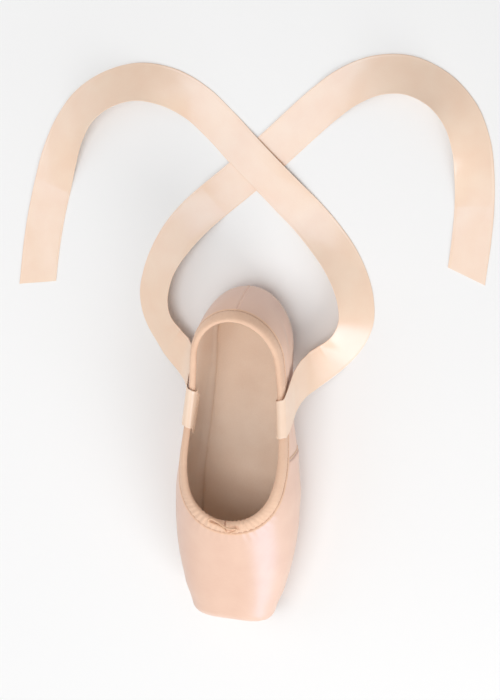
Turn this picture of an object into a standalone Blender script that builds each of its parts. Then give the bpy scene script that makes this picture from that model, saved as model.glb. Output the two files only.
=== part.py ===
"""A pointe shoe: a hollow satin upper on a straight last, its binding, outsole, insole and ribbons.

The toe points along +X, +Z is up, and the sole stands on z = 0 with the origin under the middle.
A place along the shoe is measured back from the platform, as a share of the length.
"""
import math

import bpy
import numpy as np

MM = 0.001
NAME = "pointe_shoe"

# Driving sizes of the shoe
LENGTH = 228 * MM
BALL_WIDTH = 80 * MM
INSTEP_HEIGHT = 57.5 * MM
HEEL_HEIGHT = 60 * MM
PLATFORM_TILT = math.radians(7.5)
PLATFORM_EDGE = 6 * MM
WALL = 1.8 * MM
GAP = 0.3 * MM

# Sole and insole
OUTSOLE_THICK = 2.3 * MM
OUTSOLE_WIDTH = 50 * MM
OUTSOLE_TIP = 16 * MM
OUTSOLE_HEEL = 10 * MM
OUTSOLE_CHAMFER = 0.5 * MM
LASTING_MARGIN = 7 * MM
ARCH_LIFT = 4.5 * MM
TOE_SPRING = 2.2 * MM
INSOLE_THICK = 1.6 * MM
INSOLE_INSET = 2.2 * MM
INSOLE_LEAST = 4 * MM

# Binding and side seam
BINDING_WIDTH = 8.5 * MM
BINDING_THICK = 0.9 * MM
BINDING_INNER = 7 * MM
SEAM_PLACE = 0.535
SEAM_STEP = 0.6 * MM
SEAM_RISE = 9 * MM
SEAM_EDGE = 0.8 * MM
SEAM_ROOM = 2 * MM

# The rounded top of the binding: shares of its inner and outer depth where its crown's corners stand
CROWN_INNER = 0.4
CROWN_OUTER = 0.55

# The seam's step fades in below the binding, in binding widths, and above the sole, in underside heights
SEAM_FADE_TOP = (1.0, 1.35)
SEAM_FADE_FOOT = (1.0, 2.6)

# Ribbons and drawstring
RIBBON_WIDTH = 24 * MM
RIBBON_THICK = 0.8 * MM
RIBBON_STATIONS = 76
RIBBON_SLANT = 1.2
RIBBON_TURN_WEIGHT = 20 * MM
STRING_DIAMETER = 1.3 * MM
STRING_STATIONS = 30

# Sections of the last.
# Columns: place, half width / half ball width, top / instep height,
# widest height / instep height, roundness above the widest, roundness below it
LAST_ROWS = (
    (0.000, 0.640, 0.545, 0.280, 2.70, 2.90),
    (0.018, 0.662, 0.566, 0.280, 2.70, 2.90),
    (0.044, 0.700, 0.598, 0.285, 2.62, 2.85),
    (0.066, 0.738, 0.626, 0.290, 2.55, 2.80),
    (0.096, 0.800, 0.663, 0.300, 2.46, 2.70),
    (0.136, 0.852, 0.712, 0.310, 2.38, 2.60),
    (0.175, 0.902, 0.761, 0.320, 2.30, 2.50),
    (0.241, 0.962, 0.842, 0.335, 2.22, 2.42),
    (0.324, 0.998, 0.946, 0.345, 2.16, 2.40),
    (0.368, 1.000, 1.000, 0.350, 2.15, 2.40),
    (0.417, 0.998, 1.055, 0.352, 2.15, 2.40),
    (0.504, 0.940, 1.130, 0.354, 2.16, 2.40),
    (0.614, 0.840, 1.200, 0.358, 2.20, 2.45),
    (0.724, 0.775, 1.260, 0.365, 2.26, 2.55),
    (0.833, 0.750, 1.330, 0.380, 2.34, 2.75),
    (1.000, 0.750, 1.390, 0.385, 2.40, 2.80),
)

# How far the rounded sections would reach below the flat underside, the rounding of its edge, and the
# share of a probe's depth at which the underside counts as flat
UNDER_DEPTH = 1.35
UNDER_EDGE = 2 * MM
FLAT_SHARE = 0.97

# The collar seen from the side. Columns: place, share of instep height, share of heel height
COLLAR_ROWS = (
    (0.200, 1.205, 0.000),
    (0.368, 1.000, 0.000),
    (0.439, 0.908, 0.000),
    (0.526, 0.808, 0.000),
    (0.636, 0.362, 0.346),
    (0.746, 0.000, 0.718),
    (0.855, 0.000, 0.845),
    (0.943, 0.000, 0.962),
    (1.000, 0.000, 1.040),
)

# Where the heel and the ball stand flat, as places, with the arch between them
BALL_FLAT = (0.255, 0.455)
HEEL_FLAT = (0.800, 0.965)

# The outsole's outline. Columns: share of its own length from the tip, half width / half sole width
SOLE_ROWS = (
    (0.000, 0.560),
    (0.080, 0.700),
    (0.180, 0.880),
    (0.300, 0.990),
    (0.370, 1.000),
    (0.470, 0.900),
    (0.580, 0.660),
    (0.680, 0.575),
    (0.780, 0.590),
    (0.880, 0.650),
    (1.000, 0.680),
)

# Shares of the length over which the ends of the outsole and of the insole are rounded
SOLE_TIP_ROUND = 0.075
SOLE_HEEL_ROUND = 0.085
INSOLE_TIP_ROUND = 0.03
INSOLE_HEEL_ROUND = 0.10

# The routes of the ribbons' middles, chosen by hand: up inside the quarter, over the binding, down
# to the floor, across each other behind the heel and round in a loose curl.
# Columns, in millimetres and degrees: x, y, z, bearing of the width, tilt of the width
LEFT_ROUTE = (
    (-27.0, 28.8, 23.0, 6, 0),
    (-32.8, 28.0, 33.0, 6, 0),
    (-37.4, 26.4, 41.0, 5, 0),
    (-38.3, 27.1, 43.9, 4, 0),
    (-39.4, 29.5, 45.1, 4, 0),
    (-40.5, 31.9, 43.9, 4, 0),
    (-42.2, 32.7, 41.0, 5, 0),
    (-46.8, 33.5, 33.0, 6, 0),
    (-51.5, 34.2, 24.0, 6, 0),
    (-55.8, 36.6, 16.0, 6, 0),
    (-60.0, 41.2, 9.8, 10, -3),
    (-65.5, 48.0, 6.9, 24, -14),
    (-73.0, 56.0, 6.9, 46, -26),
    (-83.0, 63.0, 7.3, 68, -31),
    (-95.0, 66.8, 7.3, 84, -32),
    (-107.0, 66.0, 7.2, 98, -32),
    (-121.0, 61.5, 6.8, 112, -29),
    (-134.0, 54.0, 5.6, 124, -22),
    (-146.0, 44.0, 4.0, 132, -13),
    (-158.0, 32.0, 3.0, 137, -5),
    (-171.0, 17.5, 3.0, 139, 0),
    (-184.0, 3.0, 3.1, 139, 0),
    (-197.0, -11.5, 2.7, 139, 0),
    (-210.5, -26.0, 1.6, 140, 0),
    (-223.0, -41.0, 2.0, 146, -4),
    (-232.0, -59.0, 4.6, 162, -18),
    (-234.0, -78.0, 6.8, 180, -29),
    (-228.0, -96.0, 7.4, 200, -32),
    (-216.0, -111.0, 6.8, 217, -28),
    (-200.0, -121.0, 4.8, 232, -18),
    (-181.0, -128.0, 2.6, 243, -7),
    (-161.0, -133.0, 0.9, 250, 0),
    (-141.0, -137.0, 0.9, 254, 0),
    (-120.5, -140.0, 0.9, 257, 0),
    (-100.0, -142.0, 0.9, 260, 0),
)
RIGHT_ROUTE = (
    (-27.0, -28.8, 23.0, -6, 0),
    (-32.8, -28.0, 33.0, -6, 0),
    (-37.4, -26.4, 41.0, -5, 0),
    (-38.3, -27.1, 43.9, -4, 0),
    (-39.4, -29.5, 45.1, -4, 0),
    (-40.5, -31.9, 43.9, -4, 0),
    (-42.2, -32.7, 41.0, -5, 0),
    (-46.8, -33.5, 33.0, -6, 0),
    (-51.5, -34.2, 24.0, -6, 0),
    (-55.8, -36.6, 16.0, -6, 0),
    (-60.0, -41.2, 9.8, -10, -3),
    (-65.5, -48.0, 6.9, -24, -14),
    (-73.5, -55.0, 6.6, -46, -25),
    (-84.0, -61.0, 6.7, -66, -29),
    (-97.0, -63.5, 6.7, -84, -29),
    (-109.5, -62.0, 6.6, -98, -29),
    (-124.0, -57.0, 5.8, -112, -25),
    (-137.5, -49.5, 4.4, -122, -17),
    (-150.0, -40.0, 2.4, -130, -8),
    (-162.0, -28.5, 0.8, -135, 0),
    (-174.5, -15.5, 0.75, -136, 0),
    (-187.5, -2.5, 0.75, -136, 0),
    (-201.0, 10.5, 0.75, -136, 0),
    (-215.0, 23.5, 0.8, -136, 0),
    (-229.0, 37.0, 1.4, -138, -2),
    (-242.0, 52.0, 3.2, -144, -9),
    (-251.0, 69.5, 5.2, -160, -20),
    (-253.0, 89.0, 7.0, -179, -29),
    (-246.0, 107.0, 7.2, -199, -31),
    (-232.5, 120.5, 6.6, -218, -27),
    (-214.5, 128.5, 4.9, -236, -18),
    (-195.0, 132.0, 2.7, -252, -7),
    (-175.0, 133.5, 0.9, -262, 0),
    (-155.0, 133.5, 0.9, -267, 0),
    (-135.0, 132.5, 0.9, -270, 0),
)

# The drawstring's small bow at the throat: out of the casing, a loop to one side, an arc to the other
# and back in. Columns, in millimetres: x, y, z
STRING_ROUTE = (
    (35.6, 0.8, 58.1),
    (33.0, -0.4, 58.9),
    (31.4, -2.6, 59.5),
    (30.4, -5.4, 59.5),
    (29.8, -8.0, 59.5),
    (28.9, -9.9, 59.9),
    (27.2, -10.2, 60.4),
    (26.2, -8.8, 60.8),
    (26.7, -6.2, 61.1),
    (28.0, -3.4, 61.3),
    (29.6, -0.6, 61.6),
    (30.6, 2.0, 61.9),
    (31.0, 4.6, 61.6),
    (31.3, 6.9, 60.6),
    (32.2, 8.0, 59.3),
    (33.6, 6.9, 58.7),
    (34.8, 4.8, 58.5),
    (35.9, 2.9, 58.1),
)

# The fans of the upper turn about a point in the forepart and a point in the heel
TOE_PIVOT = 0.482
HEEL_PIVOT = 0.833
CORE_HEIGHT = 0.32
CORE_REACH = 0.5

# Counts of points: on the upper, the soles and the dense lines they are read from
COLUMNS = 42
LEVELS = 14
TURN_WEIGHT = 14 * MM
SCAN_STEPS = 260
SCAN_TOP = math.radians(160)
OUTLINE_STEPS = (60, 300, 90)
OPENING_STEPS = 400
BISECTIONS = 36
OUTSOLE_STATIONS = 26
INSOLE_STATIONS = 20
SOLE_ACROSS = 4
END_STATIONS = 7
PLACE_STEP = 0.1 * MM
ROUTE_STEPS = 40
PROBE = 0.1 * MM


def smooth(rows, column, places):
    """Read a smooth curve through one column of a table at the places in its first column."""
    table = np.array(rows, dtype=float)
    knots = table[:, 0]
    values = table[:, column]
    slopes = np.gradient(values, knots)
    places = np.clip(places, knots[0], knots[-1])
    k = np.clip(np.searchsorted(knots, places, side="right") - 1, 0, len(knots) - 2)
    step = knots[k + 1] - knots[k]
    t = (places - knots[k]) / step
    ahead = (3 - 2 * t) * t * t
    lead = t * (1 - t) ** 2 * step * slopes[k]
    tail = t * t * (t - 1) * step * slopes[k + 1]
    return values[k] * (1 - ahead) + values[k + 1] * ahead + lead + tail


def ease(low, high, value):
    """Rise smoothly from 0 at low to 1 at high."""
    t = np.clip((value - low) / (high - low), 0, 1)
    return t * t * (3 - 2 * t)


def half_width(back):
    return 0.5 * BALL_WIDTH * smooth(LAST_ROWS, 1, back / LENGTH)


def top_height(back):
    return INSTEP_HEIGHT * smooth(LAST_ROWS, 2, back / LENGTH)


def collar_height(back):
    place = back / LENGTH
    return INSTEP_HEIGHT * smooth(COLLAR_ROWS, 1, place) + HEEL_HEIGHT * smooth(COLLAR_ROWS, 2, place)


def underside(back):
    """Height of the upper's flat underside: flat at ball and heel, lifted at the arch and the toe."""
    place = back / LENGTH
    flat = OUTSOLE_THICK + GAP
    across = np.clip((place - BALL_FLAT[1]) / (HEEL_FLAT[0] - BALL_FLAT[1]), 0, 1)
    arch = ARCH_LIFT * np.sin(math.pi * across) ** 2
    toe = TOE_SPRING * np.clip(1 - place / BALL_FLAT[0], 0, 1) ** 2
    return flat + arch + toe


def rounded_max(a, b, radius):
    """The larger of two depths, with the corner where both forms end rounded off."""
    both = (a > -radius) & (b > -radius)
    round_part = np.hypot(a + radius, b + radius) - radius
    return np.where(both, round_part, np.maximum(a, b))


def last_form(back, side, height):
    """Signed depth of the last's form, below 0 inside it."""
    place = back / LENGTH
    width = half_width(back)
    middle = INSTEP_HEIGHT * smooth(LAST_ROWS, 3, place)
    above = smooth(LAST_ROWS, 4, place)
    below = smooth(LAST_ROWS, 5, place)
    heel_pivot = HEEL_PIVOT * LENGTH
    heel_reach = LENGTH - heel_pivot
    past = np.maximum(back - heel_pivot, 0)
    plan = np.hypot(side / width, past / heel_reach)
    rise = height - middle
    floor = underside(back)
    up = np.maximum(rise, 0) / (top_height(back) - middle)
    down = np.maximum(-rise, 0) / ((middle - floor) * UNDER_DEPTH)
    power = np.where(rise > 0, above, below)
    gauge = (plan ** power + np.maximum(up, down) ** power) ** (1 / power)
    reach = np.sqrt(side ** 2 + past ** 2 + rise ** 2)
    skin = reach - reach / np.maximum(gauge, 1e-6)
    body = rounded_max(skin, floor - height, UNDER_EDGE)
    rim = underside(0.0) + PLATFORM_EDGE
    platform = (height - rim) * math.sin(PLATFORM_TILT) - back * math.cos(PLATFORM_TILT)
    return rounded_max(body, platform, PLATFORM_EDGE)


def outward(back, side, height):
    """Unit normal of the form, pointing out, in the order back, side, height."""
    slopes = (
        last_form(back + PROBE, side, height) - last_form(back - PROBE, side, height),
        last_form(back, side + PROBE, height) - last_form(back, side - PROBE, height),
        last_form(back, side, height + PROBE) - last_form(back, side, height - PROBE),
    )
    normal = np.stack(slopes, axis=-1)
    return normal / np.linalg.norm(normal, axis=-1, keepdims=True)


def sole_half_width(back, inset=0.0):
    """Half width of the outsole's outline, or of one drawn inside it, and 0 past its ends."""
    front = OUTSOLE_TIP + inset
    rear = LENGTH - OUTSOLE_HEEL - inset
    length = rear - front
    place = (back - front) / length
    width = 0.5 * OUTSOLE_WIDTH * smooth(SOLE_ROWS, 1, place) - inset
    tip = np.clip(1 - place / SOLE_TIP_ROUND, 0, 1)
    heel = np.clip(1 - (1 - place) / SOLE_HEEL_ROUND, 0, 1)
    return width * np.sqrt(1 - tip ** 2) * np.sqrt(1 - heel ** 2)


def spread(points, count, weight=TURN_WEIGHT):
    """Pick places along a line of points, evenly by length plus turning, as fractional indices."""
    steps = np.diff(points, axis=0)
    lengths = np.linalg.norm(steps, axis=1)
    ways = steps / np.maximum(lengths, 1e-9)[:, None]
    cosines = np.clip((ways[1:] * ways[:-1]).sum(axis=1), -1, 1)
    turns = np.concatenate(([0], np.arccos(cosines)))
    along = np.concatenate(([0], np.cumsum(lengths + weight * turns)))
    wanted = np.linspace(0, along[-1], count)
    return np.interp(wanted, along, np.arange(len(points)))


def read_at(points, index):
    """Read a line of points at fractional indices."""
    order = np.arange(len(points))
    return np.stack([np.interp(index, order, axis) for axis in points.T], axis=-1)


def outline():
    """Half of the plan outline, from the middle of the platform round to the middle of the heel."""
    end_steps, side_steps, heel_steps = OUTLINE_STEPS
    pivot = HEEL_PIVOT * LENGTH
    platform = [(0.0, side) for side in np.linspace(0, half_width(0.0), end_steps)]
    sides = [(back, half_width(back)) for back in np.linspace(0, pivot, side_steps)[1:]]
    width = half_width(pivot)
    reach = LENGTH - pivot
    heel = []
    for angle in np.linspace(0, math.pi / 2, heel_steps)[1:]:
        heel.append((pivot + reach * math.sin(angle), width * math.cos(angle)))
    return np.array(platform + sides + heel)


def column_rays():
    """Start, direction and reach, in plan, of each column of the half upper, from toe to heel."""
    line = outline()
    ends = read_at(line, spread(line, COLUMNS))
    seam = SEAM_PLACE * LENGTH
    edges = [seam - SEAM_RISE, seam, seam + SEAM_EDGE]
    kept = [end for end in ends if not edges[0] - SEAM_ROOM < end[0] < edges[2] + SEAM_ROOM]
    for place in edges:
        kept.append(np.array((place, half_width(place))))
    toe_pivot = TOE_PIVOT * LENGTH
    heel_pivot = HEEL_PIVOT * LENGTH
    rays = []
    for end in sorted(kept, key=lambda p: (round(p[0], 5), p[1] if p[0] < LENGTH / 2 else -p[1])):
        start = np.array((min(max(end[0], toe_pivot), heel_pivot), 0.0))
        reach = np.linalg.norm(end - start)
        rays.append((start, (end - start) / reach, reach))
    return rays


def column_path(start, way, reach):
    """Dense outside line of one column in its upright plane, from the sole opening to the collar."""
    out = np.linspace(0, reach, OPENING_STEPS)
    inside = np.abs(out * way[1]) < sole_half_width(start[0] + out * way[0], LASTING_MARGIN)
    opening = out[inside].max()
    core_out = CORE_REACH * reach
    core_up = CORE_HEIGHT * INSTEP_HEIGHT
    foot = underside(start[0] + opening * way[0])
    first = math.atan2(foot - core_up, opening - core_out)
    angles = np.linspace(first, SCAN_TOP, SCAN_STEPS)

    def point(distance, angle):
        along = core_out + distance * np.cos(angle)
        return start[0] + along * way[0], along * way[1], core_up + distance * np.sin(angle)

    near = np.zeros(SCAN_STEPS)
    far = np.full(SCAN_STEPS, LENGTH)
    for _ in range(BISECTIONS):
        half = 0.5 * (near + far)
        within = last_form(*point(half, angles)) < 0
        near = np.where(within, half, near)
        far = np.where(within, far, half)
    path = np.stack(point(near, angles), axis=-1)
    over = path[:, 2] - collar_height(path[:, 0])
    rising = angles > 0
    cut = int(np.argmax((over > 0) & rising))
    share = over[cut - 1] / (over[cut - 1] - over[cut])
    edge = path[cut - 1] + share * (path[cut] - path[cut - 1])
    return np.vstack((path[:cut], edge))


def from_edge(path, distance):
    """Fractional index of the point that lies a distance down a path from its collar end."""
    lengths = np.linalg.norm(np.diff(path, axis=0), axis=1)
    left = np.concatenate((np.cumsum(lengths[::-1])[::-1], [0]))
    return np.interp(distance, left[::-1], np.arange(len(path))[::-1])


def to_world(points):
    """Turn points of back, side and height into x, y and z."""
    points = np.asarray(points)
    return np.stack((0.5 * LENGTH - points[..., 0], points[..., 1], points[..., 2]), axis=-1)


def make_material(name, color, roughness, sheen=0.0):
    material = bpy.data.materials.new(name)
    material.use_nodes = True
    shader = material.node_tree.nodes["Principled BSDF"]
    shader.inputs["Base Color"].default_value = (*color, 1)
    shader.inputs["Roughness"].default_value = roughness
    shader.inputs["Metallic"].default_value = 0
    shader.inputs["Sheen Weight"].default_value = sheen
    material.diffuse_color = (*color, 1)
    return material


def make_object(name, verts, faces, material, parent):
    mesh = bpy.data.meshes.new(name)
    mesh.from_pydata([tuple(map(float, v)) for v in verts], [], faces)
    mesh.update()
    mesh.materials.append(material)
    mesh.shade_smooth()
    mesh.set_sharp_from_angle(angle=math.radians(40))
    obj = bpy.data.objects.new(name, mesh)
    bpy.data.collections[NAME].objects.link(obj)
    obj.parent = parent
    return obj


def grid_faces(columns, levels):
    """Faces of an open grid whose points run level by level within each column."""
    faces = []
    for c in range(columns - 1):
        for l in range(levels - 1):
            a = c * levels + l
            faces.append((a, a + levels, a + levels + 1, a + 1))
    return faces


def mirror(obj):
    modifier = obj.modifiers.new("Mirror", "MIRROR")
    modifier.use_axis = (False, True, False)
    modifier.use_clip = True
    modifier.merge_threshold = 0.00005
    return modifier


def solidify(obj, thickness, offset):
    modifier = obj.modifiers.new("Solidify", "SOLIDIFY")
    modifier.thickness = thickness
    modifier.offset = offset
    modifier.use_even_offset = True
    return modifier


def make_upper(paths, material, parent):
    """The satin and paste shell: half of an open surface, mirrored and given its wall."""
    marks = (BINDING_WIDTH, 0.5 * BINDING_WIDTH, 0.0)
    seam = SEAM_PLACE * LENGTH
    verts = []
    for path in paths:
        below = read_at(path, np.linspace(0, from_edge(path, BINDING_WIDTH), SCAN_STEPS))
        levels = list(read_at(below, spread(below, LEVELS)[:-1]))
        levels += [read_at(path, from_edge(path, mark)) for mark in marks]
        points = np.array(levels)
        lift = SEAM_STEP * ease(seam - SEAM_RISE, seam, points[:, 0])
        lift *= points[:, 0] < seam + 0.5 * SEAM_EDGE
        fade = ease(*SEAM_FADE_TOP, (collar_height(points[:, 0]) - points[:, 2]) / BINDING_WIDTH)
        fade *= ease(*SEAM_FADE_FOOT, points[:, 2] / underside(points[:, 0]))
        verts.append(points + outward(*points.T) * (lift * fade)[:, None])
    grid = to_world(np.array(verts))
    grid[0, :, 1] = 0
    grid[-1, :, 1] = 0
    columns, levels = grid.shape[:2]
    upper = make_object("upper", grid.reshape(-1, 3), grid_faces(columns, levels), material, parent)
    mirror(upper)
    solidify(upper, WALL, -1)
    return upper


def make_binding(paths, material, parent):
    """The casing: a folded band that straddles the collar's edge with a small gap all round."""
    outer = GAP + BINDING_THICK
    inner = -WALL - GAP
    rows = (
        (GAP, BINDING_WIDTH),
        (GAP, 0.5 * BINDING_WIDTH),
        (GAP, -GAP),
        (inner, -GAP),
        (inner, 0.5 * BINDING_INNER),
        (inner, BINDING_INNER),
        (inner - BINDING_THICK, BINDING_INNER),
        (inner - BINDING_THICK, 0.5 * BINDING_INNER),
        (inner - BINDING_THICK, 0.0),
        (inner - CROWN_INNER * BINDING_THICK, -outer),
        (CROWN_OUTER * outer, -outer),
        (outer, 0.0),
        (outer, 0.5 * BINDING_WIDTH),
        (outer, BINDING_WIDTH),
    )
    verts = []
    for path in paths:
        edge = path[-1]
        way = edge - read_at(path, from_edge(path, WALL))
        way /= np.linalg.norm(way)
        for offset, distance in rows:
            base = edge - way * min(distance, 0)
            if distance > 0:
                base = read_at(path, from_edge(path, distance))
            normal = outward(*(base if distance > 0 else edge))
            verts.append(base + normal * offset)
    grid = to_world(np.array(verts).reshape(len(paths), len(rows), 3))
    grid[0, :, 1] = 0
    grid[-1, :, 1] = 0
    faces = []
    count = len(rows)
    for c in range(len(paths) - 1):
        for k in range(count):
            a = c * count + k
            b = c * count + (k + 1) % count
            faces.append((a, b, b + count, a + count))
    binding = make_object("binding", grid.reshape(-1, 3), faces, material, parent)
    mirror(binding)
    return binding


def ladder(stations, width_at, height_at, across):
    """A sheet of rungs from the toe end to the heel end, closed at a point where a rung has no width."""
    verts = []
    faces = []
    before = None
    for back in stations:
        width = float(width_at(back))
        height = float(height_at(back))
        sides = np.linspace(-width, width, across + 1) if width > PROBE else [0.0]
        rung = list(range(len(verts), len(verts) + len(sides)))
        verts += [(back, side, height) for side in sides]
        if before is not None:
            for k in range(across):
                corners = [
                    before[min(k, len(before) - 1)],
                    before[min(k + 1, len(before) - 1)],
                    rung[min(k + 1, len(rung) - 1)],
                    rung[min(k, len(rung) - 1)],
                ]
                faces.append(tuple(dict.fromkeys(corners)))
        before = rung
    return to_world(verts), faces


def rounded_stations(front, rear, tip_share, heel_share, straight):
    """Places from end to end, closer together round the two ends."""
    tip = tip_share * (rear - front)
    heel = heel_share * (rear - front)
    angles = np.linspace(0, math.pi / 2, END_STATIONS)
    ahead = front + tip * (1 - np.cos(angles))
    behind = rear - heel * (1 - np.cos(angles))[::-1]
    between = np.linspace(front + tip, rear - heel, straight)[1:-1]
    return np.concatenate((ahead, between, behind))


def make_outsole(material, parent):
    front = OUTSOLE_TIP
    rear = LENGTH - OUTSOLE_HEEL
    stations = rounded_stations(front, rear, SOLE_TIP_ROUND, SOLE_HEEL_ROUND, OUTSOLE_STATIONS)
    flats = [LENGTH * place for place in (*BALL_FLAT, *HEEL_FLAT)]
    stations = np.unique(np.concatenate((stations, [f for f in flats if front < f < rear])))
    verts, faces = ladder(stations, sole_half_width, lambda back: underside(back) - GAP, SOLE_ACROSS)
    outsole = make_object("outsole", verts, faces, material, parent)
    solidify(outsole, OUTSOLE_THICK, -1)
    bevel = outsole.modifiers.new("Bevel", "BEVEL")
    bevel.width = OUTSOLE_CHAMFER
    bevel.segments = 1
    bevel.limit_method = "ANGLE"
    bevel.angle_limit = math.radians(50)
    return outsole


def insole_half_width(back):
    """Half width of the upper's flat underside, drawn in by a clearance from the rising wall."""
    back = np.asarray(back, dtype=float)
    near = np.zeros_like(back)
    far = np.full_like(back, 0.5 * BALL_WIDTH)
    for _ in range(BISECTIONS):
        half = 0.5 * (near + far)
        within = last_form(back, half, underside(back) + PROBE) < -FLAT_SHARE * PROBE
        near = np.where(within, half, near)
        far = np.where(within, far, half)
    return np.maximum(near - INSOLE_INSET, 0)


def make_insole(material, parent):
    places = np.arange(PLATFORM_EDGE + WALL + INSOLE_INSET, LENGTH, PLACE_STEP)
    inside = places[insole_half_width(places) > INSOLE_LEAST]
    ends = (inside[0], inside[-1], INSOLE_TIP_ROUND, INSOLE_HEEL_ROUND)
    stations = rounded_stations(*ends, INSOLE_STATIONS)
    height = lambda back: underside(back) + WALL + GAP
    verts, faces = ladder(stations, insole_half_width, height, SOLE_ACROSS)
    insole = make_object("insole", verts, faces, material, parent)
    solidify(insole, INSOLE_THICK, 1)
    return insole


def route_line(rows, count):
    """Stations along a smooth curve through a route's points, with the way of the width.

    The width may lie askew to the route, as it does where a ribbon folds over an edge, and is then
    lengthened so that the ribbon keeps its own width square to the route.
    """
    table = np.array(rows, dtype=float)
    spots = table[:, :3] * MM
    bearing = np.radians(table[:, 3])
    tilt = np.radians(table[:, 4])
    widths = (np.cos(bearing) * np.cos(tilt), np.sin(bearing) * np.cos(tilt), np.sin(tilt))
    chords = np.linalg.norm(np.diff(spots, axis=0), axis=1)
    along = np.concatenate(([0], np.cumsum(chords)))
    knots = np.column_stack((along, spots, *widths))
    fine = np.linspace(0, along[-1], ROUTE_STEPS * len(rows))
    dense = np.column_stack([smooth(knots, column, fine) for column in range(1, 7)])
    line = read_at(dense, spread(dense[:, :3], count, RIBBON_TURN_WEIGHT))
    points = line[:, :3]
    ways = np.gradient(points, axis=0)
    ways /= np.linalg.norm(ways, axis=1)[:, None]
    across = line[:, 3:] / np.linalg.norm(line[:, 3:], axis=1)[:, None]
    squareness = np.linalg.norm(np.cross(ways, across), axis=1)
    return points, across / squareness[:, None]


def make_ribbon(name, rows, material, parent):
    """A flat ribbon, sewn in at its first point, with its free end cut on a slant."""
    points, across = route_line(rows, RIBBON_STATIONS)
    half = 0.5 * RIBBON_WIDTH
    slant = points[-1] - points[-2]
    verts = []
    for k, (point, side) in enumerate(zip(points, across)):
        shift = slant * RIBBON_SLANT if k == len(points) - 1 else np.zeros(3)
        verts += [point - side * half, point + 0.5 * shift, point + side * half + shift]
    faces = grid_faces(len(points), 3)
    ribbon = make_object(name, verts, faces, material, parent)
    solidify(ribbon, RIBBON_THICK, 0)
    return ribbon


def make_drawstring(material, parent):
    """The string where it shows at the throat, as a thin round cord with filled ends."""
    spots = np.array(STRING_ROUTE) * MM
    chords = np.linalg.norm(np.diff(spots, axis=0), axis=1)
    knots = np.column_stack((np.concatenate(([0], np.cumsum(chords))), spots))
    wanted = np.linspace(0, knots[-1, 0], STRING_STATIONS)
    points = np.column_stack([smooth(knots, column, wanted) for column in (1, 2, 3)])
    curve = bpy.data.curves.new("drawstring", "CURVE")
    curve.dimensions = "3D"
    curve.bevel_depth = 0.5 * STRING_DIAMETER
    curve.bevel_resolution = 2
    curve.use_fill_caps = True
    spline = curve.splines.new("POLY")
    spline.points.add(len(points) - 1)
    for spot, point in zip(spline.points, points):
        spot.co = (*point, 1)
    curve.materials.append(material)
    drawstring = bpy.data.objects.new("drawstring", curve)
    bpy.data.collections[NAME].objects.link(drawstring)
    drawstring.parent = parent
    return drawstring


def main():
    for obj in list(bpy.data.objects):
        bpy.data.objects.remove(obj, do_unlink=True)
    group = bpy.data.collections.new(NAME)
    bpy.context.scene.collection.children.link(group)
    frame = bpy.data.objects.new("frame", None)
    group.objects.link(frame)

    satin = make_material("satin", (0.93, 0.66, 0.50), 0.38, 0.3)
    tape = make_material("binding_cotton", (0.88, 0.58, 0.42), 0.6)
    leather = make_material("sole_leather", (0.80, 0.60, 0.53), 0.7)
    lining = make_material("insole_cotton", (0.86, 0.74, 0.62), 0.85)
    string = make_material("drawstring_cotton", (0.93, 0.78, 0.66), 0.7)
    ribbon = make_material("ribbon_satin", (0.95, 0.74, 0.60), 0.35, 0.3)

    paths = [column_path(*ray) for ray in column_rays()]
    make_upper(paths, satin, frame)
    make_binding(paths, tape, frame)
    make_outsole(leather, frame)
    make_insole(lining, frame)
    make_drawstring(string, frame)
    make_ribbon("ribbon_left", LEFT_ROUTE, ribbon, frame)
    make_ribbon("ribbon_right", RIGHT_ROUTE, ribbon, frame)


main()
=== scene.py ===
"""The looks of the pointe shoe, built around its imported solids.

The form, the collar and the routes repeat the part's own named sizes, on finer meshes. A place along the
shoe is measured back from the platform, and world x is half the length less that.
"""
import math

import bpy
import numpy as np
from mathutils import Matrix, Vector


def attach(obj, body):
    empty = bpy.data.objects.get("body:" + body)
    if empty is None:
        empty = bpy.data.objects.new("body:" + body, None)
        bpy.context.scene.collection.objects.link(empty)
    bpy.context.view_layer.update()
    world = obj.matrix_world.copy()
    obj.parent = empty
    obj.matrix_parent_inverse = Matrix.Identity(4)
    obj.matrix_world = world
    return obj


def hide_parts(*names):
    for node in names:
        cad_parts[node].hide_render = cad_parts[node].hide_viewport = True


MM = 0.001

# Sizes of the shoe, as in the part
LENGTH = 228 * MM
BALL_WIDTH = 80 * MM
INSTEP_HEIGHT = 57.5 * MM
HEEL_HEIGHT = 60 * MM
PLATFORM_TILT = math.radians(7.5)
PLATFORM_EDGE = 6 * MM
WALL = 1.8 * MM
GAP = 0.3 * MM
OUTSOLE_THICK = 2.3 * MM
OUTSOLE_WIDTH = 50 * MM
OUTSOLE_TIP = 16 * MM
OUTSOLE_HEEL = 10 * MM
LASTING_MARGIN = 7 * MM
ARCH_LIFT = 4.5 * MM
TOE_SPRING = 2.2 * MM
INSOLE_THICK = 1.6 * MM
INSOLE_INSET = 2.2 * MM
INSOLE_LEAST = 4 * MM
BINDING_WIDTH = 8.5 * MM
BINDING_INNER = 7 * MM
SEAM_PLACE = 0.535
SEAM_STEP = 0.6 * MM
SEAM_RISE = 9 * MM
SEAM_EDGE = 0.8 * MM
SEAM_FADE_TOP = (1.0, 1.35)
SEAM_FADE_FOOT = (1.0, 2.6)
RIBBON_WIDTH = 24 * MM
RIBBON_SLANT = 9 * MM
STRING_DIAMETER = 1.3 * MM

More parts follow.
